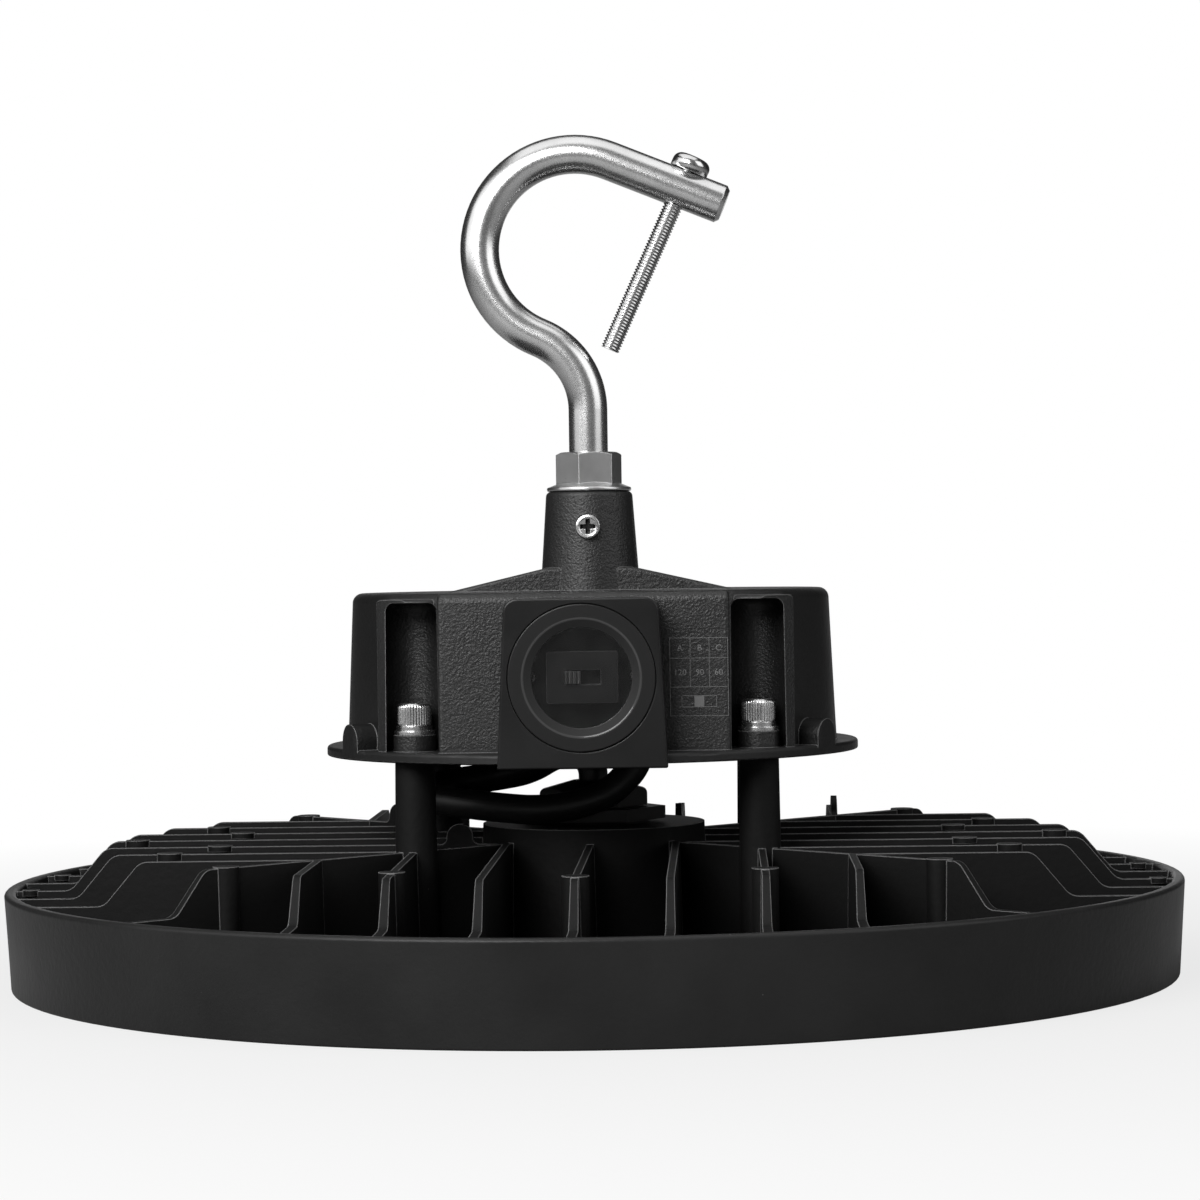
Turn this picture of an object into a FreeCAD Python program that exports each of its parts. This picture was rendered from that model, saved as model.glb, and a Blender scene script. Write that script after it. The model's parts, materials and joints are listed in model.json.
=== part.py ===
import FreeCAD, Part
import math
import os

from FreeCAD import Placement, Rotation, Vector

# High bay light: a round finned heat sink with the LEDs and lens below, four
# cast posts that lift a driver housing clear of the fins, and a hook on top.
# Millimetres, +Z up, origin on the floor under the centre, window towards -Y.

# Rim and plate of the heat sink
RIM_RADIUS = 150.0
RIM_DRAFT = 1.5
RIM_HEIGHT = 24.5
RIM_WALL = 3.0
RIM_EDGE_ROUND = 1.0
RIM_FOOT_ROUND = 0.6
LED_RECESS = 7.0
PLATE_THICKNESS = 3.0
PLATE_TOP = LED_RECESS + PLATE_THICKNESS
RIM_FOOT_RADIUS = RIM_RADIUS - RIM_DRAFT
RIM_INNER_RADIUS = RIM_RADIUS - RIM_WALL
RECESS_RADIUS = RIM_FOOT_RADIUS - RIM_WALL

# Fins: four sectors of parallel fins between four diagonal ones
FIN_HEIGHT = 24.8
FIN_TOP_WIDTH = 1.8
FIN_FOOT_WIDTH = 2.8
FIN_PITCH = 21.3
FINS_EACH_SIDE = 3
FIN_INTO_RIM = 1.0
FIN_TOP = PLATE_TOP + FIN_HEIGHT
PLATEAU_INSET = 25.5
PLATEAU_RADIUS = RIM_RADIUS - PLATEAU_INSET
LEDGE_BELOW_RIM = 0.3
LEDGE_TOP = RIM_HEIGHT - LEDGE_BELOW_RIM
FIN_SLOPE = 50.0
FIN_CORNER_ROUND = 4.0
COLUMN_RADIUS = 3.1
COLUMN_INSET = 6.5
SIDE_COLUMN_INSET = 13.0
PIN_RADIUS = 3.1
PIN_INSET = 28.5
PIN_SECTORS = (0, 180)
LEDGE_PIN_RADIUS = 2.2
LEDGE_PIN_INSET = 6.6
PIN_PROUD = 0.3
PIN_DEPTH = 1.5
LUG_RADIUS = 3.3
LUG_RISE = 5.1
LUG_FOOT_ROUND = 1.6

# Cable lugs: sector and fin, with their share of the plateau's radius
LUG_SHARES = {(180, 1): 0.265, (90, -1): 0.361, (90, -3): 0.546, (135, 0): 0.627}

# Hub in the middle of the heat sink, with the cable gland on it
HUB_RADIUS = 28.5
HUB_DRAFT = 1.0
HUB_HEIGHT = 28.5
HUB_WALL = 4.0
HUB_TOP = PLATE_TOP + HUB_HEIGHT
HUB_FOOT_RADIUS = HUB_RADIUS + HUB_DRAFT

# Posts that carry the driver housing, set in from the foot of its wall
POST_INSET = 3.0
POST_TOP_RADIUS = 4.9
POST_FOOT_RADIUS = 5.4
POST_HEIGHT = 46.9
HOUSING_BOTTOM = PLATE_TOP + POST_HEIGHT

# Driver housing
HOUSING_HEIGHT = 41.2
HOUSING_FOOT_RADIUS = 62.7
HOUSING_DRAFT = 1.7
HOUSING_WALL = 3.0
HOUSING_ROOF = 3.5
HOUSING_TOP_ROUND = 2.6
FLANGE_WIDTH = 5.4
FLANGE_THICKNESS = 2.5
FLANGE_ROUND = 0.8
HOUSING_TOP = HOUSING_BOTTOM + HOUSING_HEIGHT
HOUSING_TOP_RADIUS = HOUSING_FOOT_RADIUS - HOUSING_DRAFT
FLANGE_RADIUS = HOUSING_FOOT_RADIUS + FLANGE_WIDTH
FLANGE_TOP = HOUSING_BOTTOM + FLANGE_THICKNESS
POST_HALF = (HOUSING_FOOT_RADIUS - POST_INSET) / math.sqrt(2)
POST_PLACES = [(sx * POST_HALF, sy * POST_HALF) for sx in (-1, 1) for sy in (-1, 1)]
GROOVE_ROOM = 1.7
GROOVE_DRAFT = 0.3
GROOVE_BELOW_TOP = 2.2
GROOVE_ROUND = 2.2
GROOVE_LIP = 2.2
GROOVE_LIP_BELOW_TOP = 1.4
GROOVE_LIP_ROUND = 1.2
GROOVE_LIP_INSET = 1.2
SLEEVE_WALL = 2.6
SEAT_MARGIN = 0.2
SEAT_RISE = 4.1
SEAT_TOP = FLANGE_TOP + SEAT_RISE
BLOCK_TO_GROOVE = 0.1
BLOCK_SETBACK = 8.1
BLOCK_DRAFT = 1.0
BLOCK_TOP_ROUND = 2.4
BLOCK_SIDE_ROUND = 1.0
EAR_ANGLE = 29.5
EAR_RADIUS = 4.5
EAR_RISE = 6.4
BLOCK_FACE = HOUSING_FOOT_RADIUS - BLOCK_SETBACK
EAR_PLACES = [EAR_ANGLE, 180 - EAR_ANGLE, 180 + EAR_ANGLE, 360 - EAR_ANGLE]

# Base plate that closes the housing from below
BASE_RECESS = 4.0
BASE_THICKNESS = 2.5
BASE_CLEARANCE = 0.3
BASE_GASKET_THICKNESS = 0.6
REBATE_WALL = 3.1
REBATE_STEP = 2.4
REBATE_LAND = 3.0
BASE_BOTTOM = HOUSING_BOTTOM + BASE_RECESS
BASE_TOP = BASE_BOTTOM + BASE_THICKNESS
REBATE_TOP = BASE_TOP + BASE_GASKET_THICKNESS
REBATE_RADIUS = HOUSING_FOOT_RADIUS - REBATE_WALL
BASE_SCREW_INSET = 6.1
BASE_SCREW_CIRCLE = REBATE_RADIUS - BASE_SCREW_INSET
BASE_BOSS_RADIUS = 5.0
BASE_SCREW_RADIUS = 1.95
BASE_SCREW_HEAD = 3.5
BASE_SCREW_HEAD_HEIGHT = 2.2
BASE_SCREW_RECESS = 1.2
BASE_SCREW_LENGTH = 12.0
FRONT_WALL_BACK = BLOCK_FACE - BLOCK_DRAFT - HOUSING_WALL
REBATE_FRONT = FRONT_WALL_BACK + REBATE_STEP

# Hook boss and its wedge ribs on the roof
BOSS_RADIUS = 11.05
BOSS_FOOT_RADIUS = 12.8
BOSS_HEIGHT = 25.4
BOSS_ROUND = 1.4
BOSS_TOP = HOUSING_TOP + BOSS_HEIGHT
RIB_WIDTH = 20.6
RIB_RISE = 5.8
RIB_REACH = 37.0
RIB_TOP_ROUND = 0.8
RIB_END_DROP = 0.2

# Mains gland on the back of the housing
MAINS_PAD_MARGIN = 1.6
MAINS_PAD_PROUD = 3.5
MAINS_LEAD_RADIUS = 4.0
MAINS_PAD_FACE = HOUSING_TOP_RADIUS + MAINS_PAD_PROUD
MAINS_PANEL = MAINS_PAD_PROUD + HOUSING_WALL

# Front pad with the round window for the output selector
PAD_PROUD = 10.9
BEZEL_WIDTH = 40.8
BEZEL_TAPER = 2.0
BEZEL_WALL = 1.3
BEZEL_HEIGHT = 40.8
BEZEL_THICKNESS = 2.8
BEZEL_CORNER_ROUND = 3.4
BEZEL_EDGE_ROUND = 0.5
BEZEL_BELOW = 0.9
BEZEL_SKIRT = 10.4
PAD_FRONT = BLOCK_FACE + PAD_PROUD
BEZEL_FRONT = PAD_FRONT + BEZEL_THICKNESS
BEZEL_BOTTOM = HOUSING_BOTTOM - BEZEL_BELOW
FIT_GAP = 0.15
WINDOW_HEIGHT = 20.8
WINDOW_Z = HOUSING_BOTTOM + WINDOW_HEIGHT
CAP_TO_BEZEL_EDGE = 2.7
CAP_FLANGE_THICKNESS = 1.4
CAP_FLANGE_WIDTH = 2.4
CAP_RIM_RADIUS = 14.2
CAP_WINDOW_RADIUS = 11.95
CAP_DISH = 0.9
CAP_EDGE_ROUND = 0.3
CAP_WINDOW_THICKNESS = 1.5
CAP_SKIRT_WALL = 1.2
CAP_SKIRT_DEPTH = 4.6
CAP_CLEARANCE = 0.3
SEAL_HEIGHT = 0.8
SEAL_WALL = 1.0
SEAL_ROUND = 0.3
CAP_FLANGE_RADIUS = BEZEL_WIDTH / 2 - CAP_TO_BEZEL_EDGE
CAP_SKIRT_RADIUS = CAP_FLANGE_RADIUS - CAP_FLANGE_WIDTH
BORE_RADIUS = CAP_SKIRT_RADIUS + CAP_CLEARANCE
WIRE_HOLE_RADIUS = 11.0

# Slide switch behind the window
SWITCH_BOARD_THICKNESS = 1.6
SWITCH_BODY_WIDTH = 17.2
SWITCH_BODY_HEIGHT = 12.4
SWITCH_BODY_DEPTH = 5.6
SWITCH_CORNER_ROUND = 0.6
SLOT_WIDTH = 8.8
SLOT_HEIGHT = 3.5
SLOT_DEPTH = 3.0
KNOB_WIDTH = 3.7
KNOB_HEIGHT = 2.9
KNOB_PROUD = 1.3
KNOB_GAP = 0.3
KNOB_RIBS = 3
KNOB_TO_WINDOW = 1.4
SWITCH_SCREW_RADIUS = 0.95
SWITCH_SCREW_HEAD = 1.7
SWITCH_SCREW_HEAD_HEIGHT = 1.1
SWITCH_SCREW_INSET = 2.8
SWITCH_SCREW_LENGTH = 5.0
SWITCH_SCREW_CIRCLE = BORE_RADIUS - SWITCH_SCREW_INSET
WINDOW_BACK = BEZEL_FRONT - CAP_DISH - CAP_WINDOW_THICKNESS
SWITCH_BOARD_FRONT = WINDOW_BACK - KNOB_TO_WINDOW - KNOB_PROUD - SWITCH_BODY_DEPTH
BORE_FLOOR = SWITCH_BOARD_FRONT - SWITCH_BOARD_THICKNESS

# Driver electronics on their board
PILLAR_HEIGHT = 6.0
PILLAR_RADIUS = 3.4
PILLAR_INSET = 11.8
BOARD_TO_SLEEVE = 3.3
BOARD_THICKNESS = 1.6
BOARD_BOTTOM = BASE_TOP + PILLAR_HEIGHT
BOARD_TOP = BOARD_BOTTOM + BOARD_THICKNESS
BOARD_SCREW_RADIUS = 1.45
BOARD_SCREW_HEAD = 2.8
BOARD_SCREW_HEAD_HEIGHT = 1.8
BOARD_SCREW_RECESS = 1.0
BOARD_SCREW_LENGTH = 6.0
TRANSFORMER_SIZE = (30.0, 25.0, 19.0)
TRANSFORMER_CORE_WIDTH = 12.0
TRANSFORMER_COIL_INSET = 3.5
CAPACITOR_FOOT_ROUND = 0.6
CAPACITOR_TOP_ROUND = 1.0
CAPACITORS = [(-27.0, 6.0, 8.0, 19.0), (-27.0, -13.0, 8.0, 19.0), (29.0, -12.0, 5.0, 16.0)]
CHOKE_RADIUS = 9.5
CHOKE_SECTION = 3.4
CHOKE_PLACE = (25.0, 5.0)

# Screws, washers and hook
SCREW_RADIUS = 2.45
SCREW_LENGTH = 20.0
SCREW_HEAD_RADIUS = 4.25
SCREW_HEAD_HEIGHT = 5.5
SCREW_HEAD_ROUND = 0.5
SCREW_SOCKET = 4.0
SCREW_SOCKET_DEPTH = 2.6
SCREW_HOLE_GAP = 0.05
SCREW_HOLE_SPARE = 1.5
WASHER_RADIUS = 5.0
WASHER_THICKNESS = 1.0
SPRING_WASHER_RADIUS = 4.4
SPRING_WASHER_THICKNESS = 1.2
SPRING_WASHER_SLIT = 0.8
SPRING_WASHER_SLANT = 20.0
WASHER_HOLE_GAP = 0.2
WASHER_HOLE_RADIUS = SCREW_RADIUS + WASHER_HOLE_GAP
SEAT_RADIUS = WASHER_RADIUS + SEAT_MARGIN
GROOVE_RADIUS = WASHER_RADIUS + GROOVE_ROOM
BLOCK_HALF_WIDTH = POST_HALF - GROOVE_RADIUS - BLOCK_TO_GROOVE
PILLAR_HALF_SPACING = POST_HALF - PILLAR_INSET
SLEEVE_RADIUS = GROOVE_RADIUS + SLEEVE_WALL
BOARD_RADIUS = POST_HALF * math.sqrt(2) - SLEEVE_RADIUS - BOARD_TO_SLEEVE
NUT_WIDTH = 15.0
NUT_HEIGHT = 10.0
NUT_FLANGE_RADIUS = 10.85
NUT_FLANGE_EDGE = 0.9
NUT_FLANGE_RISE = 2.2
NUT_CROWN = 0.7
NUT_ROUND = 0.3
NUT_TURN = 15.0
ROD_RADIUS = 5.0
ROD_THREAD_STEP = 0.1
ROD_THREAD_RADIUS = ROD_RADIUS - ROD_THREAD_STEP
ROD_INTO_BOSS = 22.0
ROD_END_GAP = 2.0
LOOP_RADIUS = 24.4
LOOP_OFFSET = 2.9
NECK_RADIUS = 20.4
NECK_START = 21.0
TAIL_SLOPE = 22.2
TAIL_LENGTH = 31.8
TAIL_CHAMFER = 1.0
GATE_SCREW_RADIUS = 2.5
GATE_SCREW_LENGTH = 50.0
GATE_HEAD_RADIUS = 5.0
GATE_HEAD_HEIGHT = 3.9
GATE_HEAD_ROUND = 2.2
GATE_RECESS = 1.8
GATE_SPOT_DEPTH = 0.15
GATE_FROM_BEND = 19.8
GATE_LEAN = 2.4
GATE_CLEARANCE = 0.15
SET_SCREW_RADIUS = 1.75
SET_SCREW_HEAD = 3.15
SET_SCREW_HEAD_HEIGHT = 2.2
SET_SCREW_BELOW_TOP = 9.2
SET_SCREW_RECESS = 1.2
SET_SCREW_SPOT = 0.4
SET_SCREW_TIP_GAP = 0.05

# Cable glands: thread radius, body width and height, nut width and height
LEAD_GLAND_SIZES = (9.9, 32.0, 3.2, 24.0, 6.8)
MAINS_GLAND_SIZES = (7.9, 22.0, 4.0, 20.0, 12.0)
THREAD_CLEARANCE = 0.1
GLAND_LEAD_GAP = 0.2
GLAND_WASHER_THICKNESS = 0.8
GLAND_WASHER_WIDTH = 4.0
GLAND_NUT_WALL = 2.2
GLAND_NUT_GAP = 0.2
GLAND_NUT_TOP = 1.6
GLAND_CROWN = 2.4
GLAND_CROWN_ROUND = 1.5
GLAND_LIP = 1.4
GLAND_SEAT_SHARE = 0.45
GLAND_TAIL = 5.0
LOCKNUT_THICKNESS = 4.0
LOCKNUT_WIDTH = 6.0
GLAND_THREAD_RADIUS = LEAD_GLAND_SIZES[0]
MAINS_THREAD_RADIUS = MAINS_GLAND_SIZES[0]
MAINS_PAD_RADIUS = MAINS_THREAD_RADIUS + GLAND_WASHER_WIDTH + MAINS_PAD_MARGIN

# Output lead from the housing to the hub, its route in order
LEAD_RADIUS = 3.75
LEAD_BOTTOM = 27.0
LEAD_BASE_PLACE = (12.6, -18.0)
LEAD_ROUTE = [
    (0.0, 0.0, 55.8),
    (-9.2, 7.6, 56.0),
    (-17.0, 12.6, 51.2),
    (-27.0, 17.5, 49.2),
    (-37.5, 15.5, 48.1),
    (-44.3, 6.5, 46.8),
    (-43.6, -5.0, 45.7),
    (-36.5, -14.2, 45.1),
    (-25.5, -18.8, 43.9),
    (-13.5, -20.5, 42.9),
    (-3.0, -20.8, 44.3),
    (4.9, -20.2, 47.1),
    (12.6, -18.0, 54.7),
]
ARC_SHARE = 0.45
GROMMET_RADIUS = 6.4
GROMMET_LIP = 1.2
GROMMET_NECK = 1.3
LED_WIRE_RADIUS = 0.9
LED_WIRE_SPREAD = 1.5

# LED board and lens under the plate
LED_BOARD_THICKNESS = 1.6
LED_BOARD_INSET = 17.5
LED_BOARD_RADIUS = RECESS_RADIUS - LED_BOARD_INSET
LED_WIDTH = 5.0
LED_HEIGHT = 0.7
LED_FIRST_RING = 42.0
LED_EDGE = 18.0
LEDS_IN_RINGS = [6, 12, 18]
LENS_EDGE_GAP = 2.0
LENS_RADIUS = RECESS_RADIUS - LENS_EDGE_GAP
LENS_THICKNESS = 2.0
LENS_TO_LED = 0.4
DOME_RADIUS = 8.5
DOME_RISE = 1.2
LENS_GASKET_GAP = 2.0
LENS_GASKET_INNER = LED_BOARD_RADIUS + LENS_GASKET_GAP
LENS_GASKET_WALL = 3.5
LENS_SCREWS = 12
LENS_SCREW_INSET = 4.5
LENS_SCREW_CIRCLE = LENS_RADIUS - LENS_SCREW_INSET
LENS_SCREW_RADIUS = 1.45
LENS_SCREW_HEAD = 2.8
LENS_SCREW_HEAD_HEIGHT = 1.4
LENS_SCREW_RECESS = 0.8
LENS_SCREW_LENGTH = 6.0
LENS_BOSS_RADIUS = 3.6
LED_BOARD_BOTTOM = LED_RECESS - LED_BOARD_THICKNESS
LENS_TOP = LED_BOARD_BOTTOM - LED_HEIGHT - LENS_TO_LED
LENS_BOTTOM = LENS_TOP - LENS_THICKNESS

# Cut depth that lets a cutting shape pass clean through a face
OVER = 1.0

# Share of a half width that a corner radius takes to round a crown over
FULL_ROUND = 0.98

# Share of a pan head's height that its rounded edge takes
CROWN_SHARE = 0.6


def xz(u, v):
    return Vector(u, 0, v)


def yz(u, v):
    return Vector(0, u, v)


def xy(u, v):
    return Vector(u, v, 0)


def outline(points, place):
    """Closed wire through (u, v) or (u, v, corner radius) points."""
    corners = [(place(p[0], p[1]), p[2] if len(p) > 2 else 0.0) for p in points]
    count = len(corners)
    ends = []
    for i, (here, radius) in enumerate(corners):
        before = corners[i - 1][0]
        after = corners[(i + 1) % count][0]
        if radius == 0.0:
            ends.append((here, here, None))
            continue
        back = (before - here).normalize()
        ahead = (after - here).normalize()
        half = back.getAngle(ahead) / 2
        reach = radius / math.tan(half)
        middle = here + (back + ahead).normalize() * (radius / math.sin(half) - radius)
        ends.append((here + back * reach, here + ahead * reach, middle))
    edges = []
    for i, (start, stop, middle) in enumerate(ends):
        if middle is not None:
            edges.append(Part.Arc(start, middle, stop).toShape())
        next_start = ends[(i + 1) % count][0]
        if (next_start - stop).Length > 1e-6:
            edges.append(Part.LineSegment(stop, next_start).toShape())
    return Part.Wire(edges)


def turned(points):
    """Solid of revolution about Z from (radius, z) points."""
    return Part.Face(outline(points, xz)).revolve(Vector(), Vector(0, 0, 1), 360)


def prism(points, place, start, length):
    """Outline moved to start and extruded along its plane's normal."""
    normal = {xz: Vector(0, 1, 0), yz: Vector(1, 0, 0), xy: Vector(0, 0, 1)}[place]
    face = Part.Face(outline(points, place))
    face.translate(normal * start)
    return face.extrude(normal * length)


def rod(radius, bottom, top, x=0.0, y=0.0):
    return Part.makeCylinder(radius, top - bottom, Vector(x, y, bottom))


def taper(foot, tip, bottom, top, x=0.0, y=0.0):
    return Part.makeCone(foot, tip, top - bottom, Vector(x, y, bottom))


def ring(outer, inner, bottom, top, x=0.0, y=0.0):
    return rod(outer, bottom, top, x, y).cut(rod(inner, bottom - OVER, top + OVER, x, y))


def block(x0, x1, y0, y1, z0, z1):
    return Part.makeBox(x1 - x0, y1 - y0, z1 - z0, Vector(x0, y0, z0))


def hexagon(width, bottom, top, turn=0.0):
    radius = width / math.sqrt(3)
    points = [polar(radius, turn + 60 * i) for i in range(6)]
    return prism(points, xy, bottom, top - bottom)


def polar(radius, degrees):
    angle = math.radians(degrees)
    return (radius * math.cos(angle), radius * math.sin(angle))


def about_z(shape, degrees):
    turned_shape = shape.copy()
    turned_shape.rotate(Vector(), Vector(0, 0, 1), degrees)
    return turned_shape


def placed(shape, base, turn):
    """Copy of a shape, turned about the origin and then moved to base."""
    result = shape.copy()
    result.Placement = Placement(base, turn).multiply(result.Placement)
    return result


def facing_front(shape, distance, height):
    """Shape made along +Z from zero, laid along -Y at a distance and height."""
    return placed(shape, Vector(0, -distance, height), Rotation(Vector(1, 0, 0), 90))


def facing_back(shape, distance, height):
    """Shape made along +Z from zero, laid along +Y at a distance and height."""
    return placed(shape, Vector(0, distance, height), Rotation(Vector(1, 0, 0), -90))


def joined(shapes):
    return shapes[0].fuse(shapes[1:]).removeSplitter()


def along(radius, distance):
    """Length of a chord's half at a distance from the centre."""
    return math.sqrt(radius * radius - distance * distance)


def pan_head(radius, height, top_round):
    """Pan head on z = 0 with a rounded crown."""
    return turned([(0, 0), (radius, 0), (radius, height, top_round), (0, height)])


def cross_recess(width, depth, top):
    """Cross cut into a head whose top is at a height."""
    arm = block(-width / 2, width / 2, -width / 8, width / 8, top - depth, top + OVER)
    return arm.fuse(about_z(arm, 90))


# Heat sink

def fin_profile(start, offset, lug_at=None):
    drop = FIN_TOP - LEDGE_TOP
    crest = along(PLATEAU_RADIUS, offset)
    foot = crest + drop / math.tan(math.radians(FIN_SLOPE))
    end = along(RIM_INNER_RADIUS + FIN_INTO_RIM, offset)
    bottom = PLATE_TOP - PLATE_THICKNESS / 2
    points = [(start, bottom), (start, FIN_TOP)]
    if lug_at is not None:
        crown = FIN_TOP + LUG_RISE
        points += [
            (lug_at - LUG_RADIUS, FIN_TOP, LUG_FOOT_ROUND),
            (lug_at - LUG_RADIUS, crown, LUG_RADIUS * FULL_ROUND),
            (lug_at + LUG_RADIUS, crown, LUG_RADIUS * FULL_ROUND),
            (lug_at + LUG_RADIUS, FIN_TOP, LUG_FOOT_ROUND),
        ]
    points += [
        (crest, FIN_TOP, FIN_CORNER_ROUND),
        (foot, LEDGE_TOP, FIN_CORNER_ROUND),
        (end, LEDGE_TOP),
        (end, bottom),
    ]
    return points


def fin(start, offset, lug_at=None):
    """One fin along +X at an offset in Y, thinner at its top than at its foot."""
    points = fin_profile(start, offset, lug_at)
    sheet = prism(points, xz, -FIN_FOOT_WIDTH, 2 * FIN_FOOT_WIDTH)
    rise = FIN_HEIGHT + LUG_RISE + OVER
    lean = (FIN_FOOT_WIDTH - FIN_TOP_WIDTH) / 2 * rise / FIN_HEIGHT
    half = FIN_FOOT_WIDTH / 2
    wedge = [
        (-half, PLATE_TOP - PLATE_THICKNESS),
        (half, PLATE_TOP - PLATE_THICKNESS),
        (half, PLATE_TOP),
        (half - lean, PLATE_TOP + rise),
        (lean - half, PLATE_TOP + rise),
        (-half, PLATE_TOP),
    ]
    shape = sheet.common(prism(wedge, yz, 0, RIM_RADIUS))
    shape.translate(Vector(0, offset, 0))
    return shape


def lug_place(sector, k):
    """Distance along a fin to its upright cable lug, or None."""
    share = LUG_SHARES.get((sector, k))
    return None if share is None else share * PLATEAU_RADIUS


def fins():
    shapes = []
    hub_inside = HUB_RADIUS - HUB_WALL / 2
    for sector in (0, 90, 180, 270):
        for k in range(-FINS_EACH_SIDE, FINS_EACH_SIDE + 1):
            offset = k * FIN_PITCH
            start = hub_inside if k == 0 else max(abs(offset), along_hub(hub_inside, offset))
            shapes.append(about_z(fin(start, offset, lug_place(sector, k)), sector))
        diagonal = sector + 45
        shapes.append(about_z(fin(hub_inside, 0.0, lug_place(diagonal, 0)), diagonal))
    return shapes


def along_hub(radius, offset):
    return along(radius, offset) if abs(offset) < radius else 0.0


def fin_columns():
    """Round ejector columns and pins that thicken the fins here and there."""
    shapes = []
    low = PLATE_TOP - PLATE_THICKNESS / 2
    pin_top = FIN_TOP + PIN_PROUD
    column_circle = PLATEAU_RADIUS - COLUMN_INSET
    side_circle = PLATEAU_RADIUS - SIDE_COLUMN_INSET
    for sector in (0, 90, 180, 270):
        spots = [(column_circle, 0.0), polar(column_circle, 45)]
        spots += [(along(side_circle, k * FIN_PITCH), k * FIN_PITCH) for k in (-2, 2)]
        for x, y in spots:
            shapes.append(about_z(rod(COLUMN_RADIUS, low, pin_top, x, y), sector))
        for k in (-1, 1) if sector in PIN_SECTORS else ():
            y = k * FIN_PITCH
            x = along(PLATEAU_RADIUS - PIN_INSET, y)
            shapes.append(about_z(rod(PIN_RADIUS, pin_top - PIN_DEPTH, pin_top, x, y), sector))
            x = along(RIM_RADIUS - LEDGE_PIN_INSET, y)
            top = LEDGE_TOP + PIN_PROUD
            shapes.append(about_z(rod(LEDGE_PIN_RADIUS, top - PIN_DEPTH, top, x, y), sector))
    return shapes


def heat_sink():
    rim = turned([
        (RECESS_RADIUS, 0),
        (RIM_FOOT_RADIUS, 0, RIM_FOOT_ROUND),
        (RIM_RADIUS, RIM_HEIGHT, RIM_EDGE_ROUND),
        (RIM_INNER_RADIUS, RIM_HEIGHT, RIM_EDGE_ROUND),
        (RECESS_RADIUS, PLATE_TOP),
    ])
    plate = rod(RECESS_RADIUS + RIM_WALL / 2, LED_RECESS, PLATE_TOP)
    hub = taper(HUB_FOOT_RADIUS, HUB_RADIUS, LED_RECESS, HUB_TOP)
    posts = [taper(POST_FOOT_RADIUS, POST_TOP_RADIUS, LED_RECESS, HOUSING_BOTTOM, x, y)
             for x, y in POST_PLACES]
    lens_bosses = [rod(LENS_BOSS_RADIUS, LENS_TOP, PLATE_TOP, *place) for place in lens_places()]
    shape = joined([plate, rim, hub] + posts + lens_bosses + fins() + fin_columns())
    cavity = taper(HUB_FOOT_RADIUS - HUB_WALL, HUB_RADIUS - HUB_WALL, LED_RECESS - OVER,
                   HUB_TOP - HUB_WALL)
    gland_hole = rod(GLAND_THREAD_RADIUS + THREAD_CLEARANCE, LED_RECESS, HUB_TOP + OVER)
    thread_bottom = screw_tip() - SCREW_HOLE_SPARE
    post_holes = [rod(SCREW_RADIUS + SCREW_HOLE_GAP, thread_bottom, HOUSING_BOTTOM + OVER, x, y)
                  for x, y in POST_PLACES]
    lens_hole_top = LENS_BOTTOM + LENS_SCREW_LENGTH + SCREW_HOLE_SPARE / 2
    lens_holes = [rod(LENS_SCREW_RADIUS + SCREW_HOLE_GAP, 0, lens_hole_top, *place)
                  for place in lens_places()]
    return shape.cut([cavity, gland_hole] + post_holes + lens_holes)


# LED side

def led_places():
    places = []
    pitch = (LED_BOARD_RADIUS - LED_EDGE - LED_FIRST_RING) / (len(LEDS_IN_RINGS) - 1)
    for i_ring, count in enumerate(LEDS_IN_RINGS):
        radius = LED_FIRST_RING + i_ring * pitch
        places += [polar(radius, 360.0 * i / count) for i in range(count)]
    return places


def lens_places():
    return [polar(LENS_SCREW_CIRCLE, 360.0 * (i + 0.5) / LENS_SCREWS) for i in range(LENS_SCREWS)]


def led_board():
    return rod(LED_BOARD_RADIUS, LED_BOARD_BOTTOM, LED_RECESS)


def led_chips():
    half = LED_WIDTH / 2
    top = LED_BOARD_BOTTOM
    return Part.makeCompound([block(x - half, x + half, y - half, y + half, top - LED_HEIGHT, top)
                              for x, y in led_places()])


def lens_plate():
    plate = rod(LENS_RADIUS, LENS_BOTTOM, LENS_TOP)
    sphere_radius = (DOME_RADIUS ** 2 + DOME_RISE ** 2) / (2 * DOME_RISE)
    low = LENS_BOTTOM - DOME_RISE
    cutter = rod(RIM_RADIUS, low - OVER, LENS_BOTTOM + LENS_THICKNESS / 2)
    domes = []
    for x, y in led_places():
        ball = Part.makeSphere(sphere_radius, Vector(x, y, low + sphere_radius))
        domes.append(ball.common(cutter.common(rod(DOME_RADIUS + OVER, low, LENS_TOP, x, y))))
    plate = joined([plate] + domes)
    return plate.cut([rod(LENS_SCREW_RADIUS + FIT_GAP, 0, LENS_TOP + OVER, *place)
                      for place in lens_places()])


def lens_gasket():
    return ring(LENS_GASKET_INNER + LENS_GASKET_WALL, LENS_GASKET_INNER, LENS_TOP, LED_RECESS)


def lens_screws():
    screw = pan_head(LENS_SCREW_HEAD, LENS_SCREW_HEAD_HEIGHT, LENS_SCREW_HEAD_HEIGHT * CROWN_SHARE)
    screw = screw.cut(cross_recess(LENS_SCREW_HEAD, LENS_SCREW_RECESS, LENS_SCREW_HEAD_HEIGHT))
    screw.rotate(Vector(), Vector(1, 0, 0), 180)
    screw = screw.fuse(rod(LENS_SCREW_RADIUS, 0, LENS_SCREW_LENGTH)).removeSplitter()
    return copies(screw, [(x, y, LENS_BOTTOM) for x, y in lens_places()])


def copies(shape, places):
    """Separate copies of one shape moved to (x, y, z) places."""
    solids = []
    for place in places:
        item = shape.copy()
        item.translate(Vector(*place))
        solids.append(item)
    return Part.makeCompound(solids)


# Cable gland, made on z = 0 with its thread down and its dome up

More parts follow.
